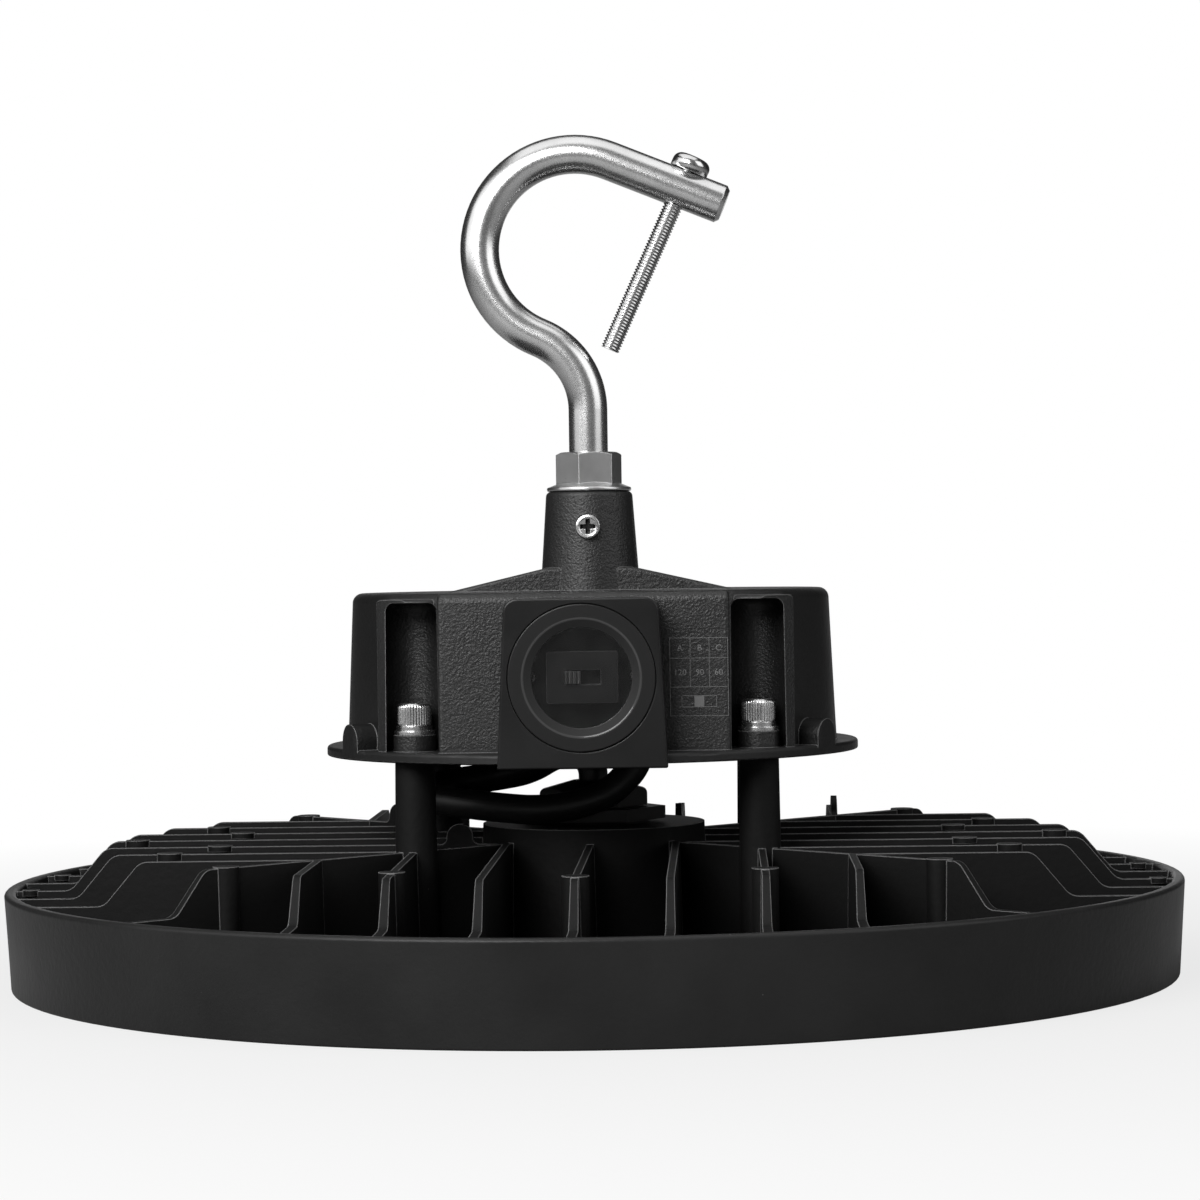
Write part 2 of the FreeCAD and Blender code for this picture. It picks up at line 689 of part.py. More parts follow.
def gland_parts(sizes, panel, lead):
    """Washer, body, clamping nut, seal and lock nut round a lead."""
    thread, body_width, body_height, nut_width, nut_height = sizes
    bore = lead + GLAND_LEAD_GAP
    body_top = GLAND_WASHER_THICKNESS + body_height
    seat = body_top + nut_height * GLAND_SEAT_SHARE
    neck = nut_width / 2 - GLAND_NUT_WALL
    tail = -panel - GLAND_TAIL
    crown = body_top + nut_height
    washer = ring(thread + GLAND_WASHER_WIDTH, thread + THREAD_CLEARANCE, 0,
                  GLAND_WASHER_THICKNESS)
    body = joined([
        hexagon(body_width, GLAND_WASHER_THICKNESS, body_top),
        rod(thread, tail, GLAND_WASHER_THICKNESS),
        rod(neck, body_top, seat),
    ])
    body = body.cut(rod(bore, tail - OVER, seat + OVER))
    corner = nut_width / math.sqrt(3)
    dome = turned([
        (0, body_top),
        (corner, body_top),
        (corner, crown - GLAND_CROWN, GLAND_CROWN_ROUND),
        (bore + GLAND_LIP, crown, GLAND_LIP / 2),
        (0, crown),
    ])
    nut = hexagon(nut_width, body_top + GLAND_NUT_GAP, crown).common(dome)
    nut = nut.cut(rod(bore, body_top - OVER, crown + OVER))
    nut = nut.cut(rod(neck + THREAD_CLEARANCE, body_top - OVER, crown - GLAND_NUT_TOP))
    seal = ring(neck - THREAD_CLEARANCE, lead, seat, crown - GLAND_NUT_TOP)
    lock = hexagon(thread * 2 + LOCKNUT_WIDTH, -panel - LOCKNUT_THICKNESS, -panel)
    lock = lock.cut(rod(thread + THREAD_CLEARANCE, tail, OVER))
    return {"washer": washer, "body": body, "nut": nut, "seal": seal, "locknut": lock}


def lead_gland():
    parts = gland_parts(LEAD_GLAND_SIZES, HUB_WALL, LEAD_RADIUS)
    for shape in parts.values():
        shape.translate(Vector(0, 0, HUB_TOP))
    return parts


# Output lead

def lead_points():
    x, y = LEAD_BASE_PLACE
    return [(0.0, 0.0, LEAD_BOTTOM)] + LEAD_ROUTE + [(x, y, BOARD_BOTTOM - FIT_GAP)]


def lead_path(points):
    """Straight runs joined by tangent arcs, with the radii of the arcs."""
    corners = [Vector(*p) for p in points]
    edges = []
    radii = []
    start = corners[0]
    for before, here, after in zip(corners, corners[1:], corners[2:]):
        back = before - here
        ahead = after - here
        reach = ARC_SHARE * min(back.Length, ahead.Length)
        back.normalize()
        ahead.normalize()
        half = back.getAngle(ahead) / 2
        radius = reach * math.tan(half)
        radii.append(radius)
        middle = here + (back + ahead).normalize() * (radius / math.sin(half) - radius)
        first = here + back * reach
        last = here + ahead * reach
        edges.append(Part.LineSegment(start, first).toShape())
        edges.append(Part.Arc(first, middle, last).toShape())
        start = last
    edges.append(Part.LineSegment(start, corners[-1]).toShape())
    return Part.Wire(edges), radii


def output_lead():
    path, radii = lead_path(lead_points())
    section = Part.Wire(Part.makeCircle(LEAD_RADIUS, Vector(*lead_points()[0])))
    tube = path.makePipeShell([section], True, True)
    print("lead length", round(path.Length, 1), "radii", [round(r, 1) for r in radii])
    print("lead volume", round(tube.Volume, 1), "expected",
          round(math.pi * LEAD_RADIUS ** 2 * path.Length, 1))
    return tube


def led_wires():
    return Part.makeCompound([rod(LED_WIRE_RADIUS, LED_RECESS, LEAD_BOTTOM, x, 0)
                              for x in (-LED_WIRE_SPREAD, LED_WIRE_SPREAD)])


def lead_grommet():
    x, y = LEAD_BASE_PLACE
    neck = LEAD_RADIUS + GROMMET_NECK
    collar = joined([
        rod(GROMMET_RADIUS, BASE_BOTTOM - GROMMET_LIP, BASE_BOTTOM, x, y),
        rod(neck, BASE_BOTTOM, BASE_TOP, x, y),
        rod(GROMMET_RADIUS, BASE_TOP, BASE_TOP + GROMMET_LIP, x, y),
    ])
    return collar.cut(output_lead_clear())


def output_lead_clear():
    x, y = LEAD_BASE_PLACE
    return rod(LEAD_RADIUS, BASE_BOTTOM - 2 * GROMMET_LIP, BASE_TOP + 2 * GROMMET_LIP, x, y)


# Driver housing

def housing_body():
    return turned([
        (0, HOUSING_BOTTOM),
        (FLANGE_RADIUS, HOUSING_BOTTOM, FLANGE_ROUND / 2),
        (FLANGE_RADIUS, FLANGE_TOP, FLANGE_ROUND),
        (HOUSING_FOOT_RADIUS, FLANGE_TOP),
        (HOUSING_TOP_RADIUS, HOUSING_TOP, HOUSING_TOP_ROUND),
        (0, HOUSING_TOP),
    ])


def front_block():
    """Flat fronted block that stands proud of the round wall."""
    points = [
        (0, HOUSING_BOTTOM),
        (-BLOCK_FACE, HOUSING_BOTTOM),
        (BLOCK_DRAFT - BLOCK_FACE, HOUSING_TOP, BLOCK_TOP_ROUND),
        (0, HOUSING_TOP),
    ]
    shape = prism(points, yz, -BLOCK_HALF_WIDTH, 2 * BLOCK_HALF_WIDTH)
    corners = [e for e in shape.Edges
               if e.BoundBox.ZLength > 5 and e.BoundBox.YMax < -BLOCK_FACE / 2]
    return shape.makeFillet(BLOCK_SIDE_ROUND, corners)


def round_wall_cut():
    """Takes the round wall away in front of the flat block."""
    return block(-BLOCK_HALF_WIDTH, BLOCK_HALF_WIDTH, -FLANGE_RADIUS - OVER,
                 -FRONT_WALL_BACK, FLANGE_TOP, HOUSING_TOP + OVER)


def hook_boss():
    return turned([
        (0, HOUSING_TOP - HOUSING_ROOF),
        (BOSS_FOOT_RADIUS, HOUSING_TOP - HOUSING_ROOF),
        (BOSS_FOOT_RADIUS, HOUSING_TOP),
        (BOSS_RADIUS, BOSS_TOP, BOSS_ROUND),
        (0, BOSS_TOP),
    ])


def wedge_ribs():
    low = HOUSING_TOP - HOUSING_ROOF / 2
    shape = prism([
        (-RIB_REACH, low),
        (RIB_REACH, low),
        (RIB_REACH, HOUSING_TOP - RIB_END_DROP),
        (BOSS_RADIUS, HOUSING_TOP + RIB_RISE),
        (-BOSS_RADIUS, HOUSING_TOP + RIB_RISE),
        (-RIB_REACH, HOUSING_TOP - RIB_END_DROP),
    ], xz, -RIB_WIDTH / 2, RIB_WIDTH)
    edges = [e for e in shape.Edges
             if e.BoundBox.XLength > 5 and e.BoundBox.ZMax > HOUSING_TOP]
    return shape.makeFillet(RIB_TOP_ROUND, edges)


def ears():
    """Half round bosses on the flange, flush with its edge."""
    crown = FLANGE_TOP + EAR_RISE
    arch = prism([
        (-EAR_RADIUS, HOUSING_BOTTOM + FLANGE_THICKNESS / 2),
        (EAR_RADIUS, HOUSING_BOTTOM + FLANGE_THICKNESS / 2),
        (EAR_RADIUS, crown, EAR_RADIUS * FULL_ROUND),
        (-EAR_RADIUS, crown, EAR_RADIUS * FULL_ROUND),
    ], yz, HOUSING_TOP_RADIUS - HOUSING_WALL / 2, FLANGE_RADIUS)
    edge = rod(FLANGE_RADIUS, HOUSING_BOTTOM, HOUSING_TOP)
    arch = arch.common(edge)
    return [about_z(arch, angle) for angle in EAR_PLACES]


def bezel_outline(inset, low, top, low_round, top_round):
    """Bezel's front outline, narrower at its top, set in by a distance."""
    def half(z):
        return BEZEL_WIDTH / 2 - BEZEL_TAPER * (z - BEZEL_BOTTOM) / BEZEL_HEIGHT - inset

    return [(-half(low), low, low_round), (half(low), low, low_round),
            (half(top), top, top_round), (-half(top), top, top_round)]


def housing_pad():
    inset = BEZEL_WALL + FIT_GAP
    top = BEZEL_BOTTOM + BEZEL_HEIGHT - inset
    corner = BEZEL_CORNER_ROUND - BEZEL_WALL
    return prism(bezel_outline(inset, HOUSING_BOTTOM, top, 0.0, corner), xz, -PAD_FRONT,
                 PAD_FRONT - BLOCK_FACE + HOUSING_WALL)


def cavity():
    """Inside of the housing: a stepped rebate for the base plate, then the space."""
    lean = (HOUSING_FOOT_RADIUS - HOUSING_TOP_RADIUS)
    land = REBATE_RADIUS - REBATE_STEP
    land_top = REBATE_TOP + REBATE_LAND
    roof = HOUSING_TOP - HOUSING_ROOF
    space = turned([
        (0, HOUSING_BOTTOM - OVER),
        (REBATE_RADIUS, HOUSING_BOTTOM - OVER),
        (REBATE_RADIUS, REBATE_TOP),
        (land, REBATE_TOP),
        (land, land_top),
        (HOUSING_FOOT_RADIUS - HOUSING_WALL - lean / 4, land_top + REBATE_STEP),
        (HOUSING_TOP_RADIUS - HOUSING_WALL, roof, HOUSING_TOP_ROUND),
        (0, roof),
    ])
    front = [front_wall(REBATE_FRONT, HOUSING_BOTTOM - 2 * OVER, REBATE_TOP),
             front_wall(FRONT_WALL_BACK, REBATE_TOP, HOUSING_TOP)]
    sleeves = []
    for x, y in POST_PLACES:
        sleeves.append(rod(SLEEVE_RADIUS, HOUSING_BOTTOM - 2 * OVER, HOUSING_TOP, x, y))
        sleeves.append(rod(SLEEVE_RADIUS + REBATE_STEP, REBATE_TOP, land_top, x, y))
    bosses = [rod(BASE_BOSS_RADIUS, REBATE_TOP, HOUSING_TOP, *polar(BASE_SCREW_CIRCLE, angle))
              for angle in EAR_PLACES]
    return space.cut(front + sleeves + bosses)


def front_wall(back, bottom, top):
    """Everything in front of a flat inner face, between two heights."""
    return block(-FLANGE_RADIUS, FLANGE_RADIUS, -2 * FLANGE_RADIUS, -back, bottom, top)


def groove(x, y):
    """Room for a screw's head: a round back, open towards the front or rear."""
    top = HOUSING_TOP - GROOVE_BELOW_TOP
    narrow = GROOVE_RADIUS - GROOVE_DRAFT
    back = turned([(0, FLANGE_TOP), (GROOVE_RADIUS, FLANGE_TOP), (narrow, top, GROOVE_ROUND),
                   (0, top)])
    reach = FLANGE_RADIUS + OVER - POST_HALF
    mouth = prism([
        (-GROOVE_RADIUS, FLANGE_TOP),
        (GROOVE_RADIUS, FLANGE_TOP),
        (narrow, top, GROOVE_ROUND),
        (-narrow, top, GROOVE_ROUND),
    ], xz, 0 if y > 0 else -reach, reach)
    shape = back.fuse(mouth)
    shape.translate(Vector(x, y, 0))
    return shape


def groove_lips():
    """Rounded walls that stand proud of the housing round each groove."""
    top = HOUSING_TOP - GROOVE_LIP_BELOW_TOP
    radius = GROOVE_RADIUS + GROOVE_LIP
    wall = turned([(0, FLANGE_TOP - FLANGE_THICKNESS / 2), (radius, FLANGE_TOP - FLANGE_THICKNESS / 2),
                   (radius, top, GROOVE_LIP_ROUND), (0, top)])
    limit = rod(FLANGE_RADIUS - GROOVE_LIP_INSET, HOUSING_BOTTOM, HOUSING_TOP)
    return [wall.translated(Vector(x, y, 0)).common(limit) for x, y in POST_PLACES]


def window_bore():
    hole = rod(BORE_RADIUS, 0, PAD_FRONT - BORE_FLOOR + OVER)
    wires = rod(WIRE_HOLE_RADIUS, -BORE_FLOOR / 4, OVER)
    return facing_front(hole.fuse(wires), BORE_FLOOR, WINDOW_Z)


def driver_housing():
    body = housing_body().cut(round_wall_cut())
    shape = joined([body, front_block(), hook_boss(), wedge_ribs()] + ears() + groove_lips())
    shape = shape.cut([groove(x, y) for x, y in POST_PLACES])
    seats = [rod(SEAT_RADIUS, HOUSING_BOTTOM + FLANGE_THICKNESS / 2, SEAT_TOP, x, y)
             for x, y in POST_PLACES]
    shape = joined([shape, housing_pad()] + seats)
    trim = block(-BEZEL_WIDTH / 2 - FIT_GAP, BEZEL_WIDTH / 2 + FIT_GAP, -2 * FLANGE_RADIUS,
                 -PAD_FRONT, HOUSING_BOTTOM - OVER, HOUSING_TOP + OVER)
    rear_pad = facing_back(rod(MAINS_PAD_RADIUS, -MAINS_PANEL, 0), MAINS_PAD_FACE, WINDOW_Z)
    shape = joined([shape.cut(trim), rear_pad])
    cuts = [cavity(), window_bore()]
    cuts += [rod(SCREW_RADIUS + FIT_GAP, HOUSING_BOTTOM - OVER, SEAT_TOP + OVER, x, y)
             for x, y in POST_PLACES]
    hole_top = BASE_BOTTOM + BASE_SCREW_LENGTH + SCREW_HOLE_SPARE
    cuts += [rod(BASE_SCREW_RADIUS + SCREW_HOLE_GAP, BASE_TOP, hole_top,
                 *polar(BASE_SCREW_CIRCLE, angle)) for angle in EAR_PLACES]
    cuts.append(rod(ROD_THREAD_RADIUS + THREAD_CLEARANCE, BOSS_TOP - ROD_INTO_BOSS - ROD_END_GAP,
                    BOSS_TOP + OVER))
    cuts.append(set_screw_hole())
    cuts.append(facing_back(rod(MAINS_THREAD_RADIUS + THREAD_CLEARANCE, -MAINS_PAD_FACE / 4,
                                OVER), MAINS_PAD_FACE, WINDOW_Z))
    cuts.append(facing_back(rod(MAINS_PAD_RADIUS, -HOUSING_WALL, 0),
                            MAINS_PAD_FACE - MAINS_PANEL, WINDOW_Z))
    cuts += [switch_screw_hole(side) for side in (-1, 1)]
    return shape.cut(cuts)


def mains_gland():
    parts = gland_parts(MAINS_GLAND_SIZES, MAINS_PANEL, MAINS_LEAD_RADIUS)
    return {name: facing_back(shape, MAINS_PAD_FACE, WINDOW_Z) for name, shape in parts.items()}


# Base plate

def base_outline(radius, sleeve, front, bottom, top):
    """Disc with a flat front and a bite for each screw sleeve."""
    disc = rod(radius, bottom, top)
    bites = [rod(sleeve, bottom - OVER, top + OVER, x, y) for x, y in POST_PLACES]
    return disc.cut(bites + [front_wall(front, bottom - OVER, top + OVER)])


def base_plate():
    sleeve = SLEEVE_RADIUS + BASE_CLEARANCE
    plate = base_outline(REBATE_RADIUS - BASE_CLEARANCE, sleeve,
                         REBATE_FRONT - BASE_CLEARANCE, BASE_BOTTOM, BASE_TOP)
    half = PILLAR_HALF_SPACING
    places = [(sx * half, sy * half) for sx in (-1, 1) for sy in (-1, 1)]
    plate = joined([plate] + [rod(PILLAR_RADIUS, BASE_TOP - OVER, BOARD_BOTTOM, x, y)
                              for x, y in places])
    x, y = LEAD_BASE_PLACE
    cuts = [rod(LEAD_RADIUS + GROMMET_NECK, BASE_BOTTOM - OVER, BASE_TOP + OVER, x, y)]
    cuts += [rod(BASE_SCREW_RADIUS + FIT_GAP, BASE_BOTTOM - OVER, BASE_TOP + OVER,
                 *polar(BASE_SCREW_CIRCLE, angle)) for angle in EAR_PLACES]
    cuts += [rod(BOARD_SCREW_RADIUS + SCREW_HOLE_GAP, BOARD_TOP - BOARD_SCREW_LENGTH - FIT_GAP,
                 BOARD_TOP, x, y) for x, y in places]
    return plate.cut(cuts)


def base_gasket():
    sleeve = SLEEVE_RADIUS + BASE_CLEARANCE
    outer = base_outline(REBATE_RADIUS - BASE_CLEARANCE, sleeve,
                         REBATE_FRONT - BASE_CLEARANCE, BASE_TOP, REBATE_TOP)
    inner = base_outline(REBATE_RADIUS - REBATE_STEP, sleeve + REBATE_STEP - BASE_CLEARANCE,
                         FRONT_WALL_BACK, BASE_TOP - OVER, REBATE_TOP + OVER)
    return outer.cut(inner)


def base_screws():
    screw = pan_head(BASE_SCREW_HEAD, BASE_SCREW_HEAD_HEIGHT, BASE_SCREW_HEAD_HEIGHT * CROWN_SHARE)
    screw = screw.cut(cross_recess(BASE_SCREW_HEAD, BASE_SCREW_RECESS, BASE_SCREW_HEAD_HEIGHT))
    screw.rotate(Vector(), Vector(1, 0, 0), 180)
    screw = screw.fuse(rod(BASE_SCREW_RADIUS, 0, BASE_SCREW_LENGTH)).removeSplitter()
    places = [polar(BASE_SCREW_CIRCLE, angle) + (BASE_BOTTOM,) for angle in EAR_PLACES]
    return copies(screw, places)


# Driver electronics

def driver_board():
    half = PILLAR_HALF_SPACING
    board = rod(BOARD_RADIUS, BOARD_BOTTOM, BOARD_TOP)
    return board.cut([rod(BOARD_SCREW_RADIUS + FIT_GAP, BOARD_BOTTOM - OVER, BOARD_TOP + OVER,
                          sx * half, sy * half) for sx in (-1, 1) for sy in (-1, 1)])


def board_screws():
    screw = pan_head(BOARD_SCREW_HEAD, BOARD_SCREW_HEAD_HEIGHT, BOARD_SCREW_HEAD_HEIGHT * CROWN_SHARE)
    screw = screw.cut(cross_recess(BOARD_SCREW_HEAD, BOARD_SCREW_RECESS, BOARD_SCREW_HEAD_HEIGHT))
    screw = screw.fuse(rod(BOARD_SCREW_RADIUS, -BOARD_SCREW_LENGTH, 0)).removeSplitter()
    half = PILLAR_HALF_SPACING
    return copies(screw, [(sx * half, sy * half, BOARD_TOP) for sx in (-1, 1) for sy in (-1, 1)])


def transformer():
    width, depth, height = TRANSFORMER_SIZE
    inset = TRANSFORMER_COIL_INSET
    core = block(-width / 2, width / 2, -TRANSFORMER_CORE_WIDTH / 2, TRANSFORMER_CORE_WIDTH / 2,
                 BOARD_TOP + inset / 2, BOARD_TOP + height)
    coil = prism([(inset - width / 2, -depth / 2, inset), (width / 2 - inset, -depth / 2, inset),
                  (width / 2 - inset, depth / 2, inset), (inset - width / 2, depth / 2, inset)],
                 xy, BOARD_TOP, height - inset)
    return core.fuse(coil).removeSplitter()


def capacitors():
    return Part.makeCompound([turned([(0, BOARD_TOP), (radius, BOARD_TOP, CAPACITOR_FOOT_ROUND),
                                      (radius, BOARD_TOP + height, CAPACITOR_TOP_ROUND),
                                      (0, BOARD_TOP + height)]).translated(Vector(x, y, 0))
                              for x, y, radius, height in CAPACITORS])


def choke():
    x, y = CHOKE_PLACE
    centre = Vector(x, y, BOARD_TOP + CHOKE_SECTION)
    return Part.makeTorus(CHOKE_RADIUS - CHOKE_SECTION, CHOKE_SECTION, centre)


# Selector switch behind the window

def switch_board():
    disc = rod(BORE_RADIUS - BASE_CLEARANCE, 0, SWITCH_BOARD_THICKNESS)
    holes = [rod(SWITCH_SCREW_RADIUS + FIT_GAP, -OVER, SWITCH_BOARD_THICKNESS + OVER,
                 side * SWITCH_SCREW_CIRCLE) for side in (-1, 1)]
    return facing_front(disc.cut(holes), BORE_FLOOR, WINDOW_Z)


def switch_screw_hole(side):
    hole = rod(SWITCH_SCREW_RADIUS + SCREW_HOLE_GAP, -SWITCH_SCREW_LENGTH, OVER,
               side * SWITCH_SCREW_CIRCLE)
    return facing_front(hole, SWITCH_BOARD_FRONT, WINDOW_Z)


def switch_screws():
    head = pan_head(SWITCH_SCREW_HEAD, SWITCH_SCREW_HEAD_HEIGHT, SWITCH_SCREW_HEAD_HEIGHT * CROWN_SHARE)
    screw = head.fuse(rod(SWITCH_SCREW_RADIUS, -SWITCH_SCREW_LENGTH, 0)).removeSplitter()
    pair = copies(screw, [(side * SWITCH_SCREW_CIRCLE, 0, 0) for side in (-1, 1)])
    return facing_front(pair, SWITCH_BOARD_FRONT, WINDOW_Z)


def switch_body():
    half_width = SWITCH_BODY_WIDTH / 2
    half_height = SWITCH_BODY_HEIGHT / 2
    corner = SWITCH_CORNER_ROUND
    body = prism([(-half_width, -half_height, corner), (half_width, -half_height, corner),
                  (half_width, half_height, corner), (-half_width, half_height, corner)],
                 xy, 0, SWITCH_BODY_DEPTH)
    slot = block(-SLOT_WIDTH / 2, SLOT_WIDTH / 2, -SLOT_HEIGHT / 2, SLOT_HEIGHT / 2,
                 SWITCH_BODY_DEPTH - SLOT_DEPTH, SWITCH_BODY_DEPTH + OVER)
    return facing_front(body.cut(slot), SWITCH_BOARD_FRONT, WINDOW_Z)


def selector_slider():
    left = KNOB_GAP - SLOT_WIDTH / 2
    low = SWITCH_BODY_DEPTH - SLOT_DEPTH + KNOB_GAP
    top = SWITCH_BODY_DEPTH + KNOB_PROUD
    knob = block(left, left + KNOB_WIDTH, -KNOB_HEIGHT / 2, KNOB_HEIGHT / 2, low, top)
    pitch = KNOB_WIDTH / (2 * KNOB_RIBS + 1)
    grooves = []
    for i in range(KNOB_RIBS):
        x = left + (2 * i + 1) * pitch
        grooves.append(block(x, x + pitch, -KNOB_HEIGHT, KNOB_HEIGHT, top - pitch, top + OVER))
    return facing_front(knob.cut(grooves), SWITCH_BOARD_FRONT, WINDOW_Z)


def switch_bezel():
    top = BEZEL_BOTTOM + BEZEL_HEIGHT
    corner = BEZEL_CORNER_ROUND
    plate = prism(bezel_outline(0, BEZEL_BOTTOM, top, BEZEL_EDGE_ROUND, corner), xz,
                  -BEZEL_FRONT, BEZEL_THICKNESS)
    front_edges = [e for e in plate.Edges if e.BoundBox.YMax < BEZEL_EDGE_ROUND / 5 - BEZEL_FRONT]
    plate = plate.makeFillet(BEZEL_EDGE_ROUND, front_edges)
    skirt = prism(bezel_outline(0, FLANGE_TOP + FIT_GAP, top, 0.0, corner), xz,
                  -PAD_FRONT - OVER, BEZEL_SKIRT + OVER)
    hollow = prism(bezel_outline(BEZEL_WALL, BEZEL_BOTTOM - OVER, top - BEZEL_WALL, 0.0,
                                 corner - BEZEL_WALL), xz, -PAD_FRONT, 2 * BEZEL_SKIRT)
    bore = rod(BORE_RADIUS, -OVER, BEZEL_THICKNESS + OVER)
    depth = CAP_FLANGE_THICKNESS + SEAL_HEIGHT
    recess = rod(CAP_FLANGE_RADIUS + FIT_GAP, BEZEL_THICKNESS - depth, BEZEL_THICKNESS + OVER)
    opening = facing_front(bore.fuse(recess), PAD_FRONT, WINDOW_Z)
    return joined([plate, skirt]).cut([hollow, opening])


def window_cap():
    """Clear smoked cap: flush flange, sloping ring, dished window and a skirt."""
    back = -CAP_FLANGE_THICKNESS
    inner = CAP_SKIRT_RADIUS - CAP_SKIRT_WALL
    window_back = -CAP_DISH - CAP_WINDOW_THICKNESS
    skirt_back = back - CAP_SKIRT_DEPTH
    shape = turned([
        (0, -CAP_DISH),
        (CAP_WINDOW_RADIUS, -CAP_DISH),
        (CAP_RIM_RADIUS, 0),
        (CAP_FLANGE_RADIUS, 0, CAP_EDGE_ROUND),
        (CAP_FLANGE_RADIUS, back),
        (CAP_SKIRT_RADIUS, back),
        (CAP_SKIRT_RADIUS, skirt_back),
        (inner, skirt_back),
        (inner, window_back),
        (0, window_back),
    ])
    return facing_front(shape, BEZEL_FRONT, WINDOW_Z)


def window_seal():
    back = -CAP_FLANGE_THICKNESS
    outer = (CAP_SKIRT_RADIUS + CAP_FLANGE_RADIUS) / 2 + SEAL_WALL / 2
    shape = turned([
        (outer - SEAL_WALL, back),
        (outer, back),
        (outer, back - SEAL_HEIGHT, SEAL_ROUND),
        (outer - SEAL_WALL, back - SEAL_HEIGHT, SEAL_ROUND),
    ])
    return facing_front(shape, BEZEL_FRONT, WINDOW_Z)


# Fasteners of the housing

def screw_seat():
    return SEAT_TOP + WASHER_THICKNESS + SPRING_WASHER_THICKNESS


def screw_tip():
    return screw_seat() - SCREW_LENGTH


def cap_screws():
    head = pan_head(SCREW_HEAD_RADIUS, SCREW_HEAD_HEIGHT, SCREW_HEAD_ROUND)
    socket = hexagon(SCREW_SOCKET, SCREW_HEAD_HEIGHT - SCREW_SOCKET_DEPTH,
                     SCREW_HEAD_HEIGHT + OVER)
    screw = head.cut(socket).fuse(rod(SCREW_RADIUS, -SCREW_LENGTH, 0)).removeSplitter()
    return copies(screw, [(x, y, screw_seat()) for x, y in POST_PLACES])


def flat_washers():
    washer = ring(WASHER_RADIUS, WASHER_HOLE_RADIUS, 0, WASHER_THICKNESS)
    return copies(washer, [(x, y, SEAT_TOP) for x, y in POST_PLACES])


def spring_washers():
    washer = ring(SPRING_WASHER_RADIUS, WASHER_HOLE_RADIUS, 0, SPRING_WASHER_THICKNESS)
    half = SPRING_WASHER_SLIT / 2
    slit = block(-half, half, 0, WASHER_RADIUS, -OVER, SPRING_WASHER_THICKNESS + OVER)
    slit.rotate(Vector(0, 0, SPRING_WASHER_THICKNESS / 2), Vector(0, 1, 0),
                SPRING_WASHER_SLANT)
    return copies(washer.cut(slit), [(x, y, SEAT_TOP + WASHER_THICKNESS) for x, y in POST_PLACES])


# Hook

def loop_centre():
    neck_x = -NECK_RADIUS
    neck_z = BOSS_TOP + NECK_START
    dx = neck_x + LOOP_OFFSET
    rise = math.sqrt((LOOP_RADIUS + NECK_RADIUS) ** 2 - dx ** 2)
    return Vector(-LOOP_OFFSET, 0, neck_z + rise), Vector(neck_x, 0, neck_z)


def on_circle(centre, radius, degrees):
    x, z = polar(radius, degrees)
    return centre + Vector(x, 0, z)


def tail_start():
    loop, neck = loop_centre()
    return on_circle(loop, LOOP_RADIUS, 90 - TAIL_SLOPE)


def tail_direction():
    x, z = polar(1.0, -TAIL_SLOPE)
    return Vector(x, 0, z)


def gate_axis():
    """Point on the tail's centre line and the screw's direction, tip first."""
    point = tail_start() + tail_direction() * GATE_FROM_BEND
    x, z = polar(1.0, -90 - TAIL_SLOPE - GATE_LEAN)
    return point, Vector(x, 0, z)


def along_gate(shape, distance):
    """Shape made along +Z, laid on the gate screw's axis with +Z to its head."""
    point, tip = gate_axis()
    return placed(shape, point - tip * distance, Rotation(Vector(0, 0, 1), tip * -1))


def hook():
    loop, neck = loop_centre()
    across = loop - neck
    meet_angle = math.degrees(math.atan2(across.z, across.x))
    meet = on_circle(neck, NECK_RADIUS, meet_angle)
    stem_bottom = Vector(0, 0, BOSS_TOP + NUT_HEIGHT)
    stem_top = Vector(0, 0, neck.z)
    tail_end = tail_start() + tail_direction() * TAIL_LENGTH
    path = Part.Wire([
        Part.LineSegment(stem_bottom, stem_top).toShape(),
        Part.Arc(stem_top, on_circle(neck, NECK_RADIUS, meet_angle / 2), meet).toShape(),
        Part.Arc(meet, on_circle(loop, LOOP_RADIUS, 180), tail_start()).toShape(),
        Part.LineSegment(tail_start(), tail_end).toShape(),
    ])
    section = Part.Wire(Part.makeCircle(ROD_RADIUS, stem_bottom))
    bent = path.makePipeShell([section], True, True)
    tips = [e for e in bent.Edges
            if abs(e.Length - 2 * math.pi * ROD_RADIUS) < 0.01
            and (e.BoundBox.Center - tail_end).Length < 0.1]
    bent = bent.makeChamfer(TAIL_CHAMFER, tips)
    thread = rod(ROD_THREAD_RADIUS, BOSS_TOP - ROD_INTO_BOSS, BOSS_TOP + NUT_HEIGHT)
    hole = rod(GATE_SCREW_RADIUS + GATE_CLEARANCE, -2 * ROD_RADIUS, 2 * ROD_RADIUS)
    spot = rod(GATE_HEAD_RADIUS + GATE_CLEARANCE, ROD_RADIUS - GATE_SPOT_DEPTH, 2 * ROD_RADIUS)
    shape = joined([thread, bent])
    return shape.cut([along_gate(hole, 0), along_gate(spot, 0)])


def gate_screw():
    head = pan_head(GATE_HEAD_RADIUS, GATE_HEAD_HEIGHT, GATE_HEAD_ROUND)
    head = head.cut(cross_recess(GATE_HEAD_RADIUS, GATE_RECESS, GATE_HEAD_HEIGHT))
    screw = head.fuse(rod(GATE_SCREW_RADIUS, -GATE_SCREW_LENGTH, 0)).removeSplitter()
    return along_gate(screw, ROD_RADIUS - GATE_SPOT_DEPTH)


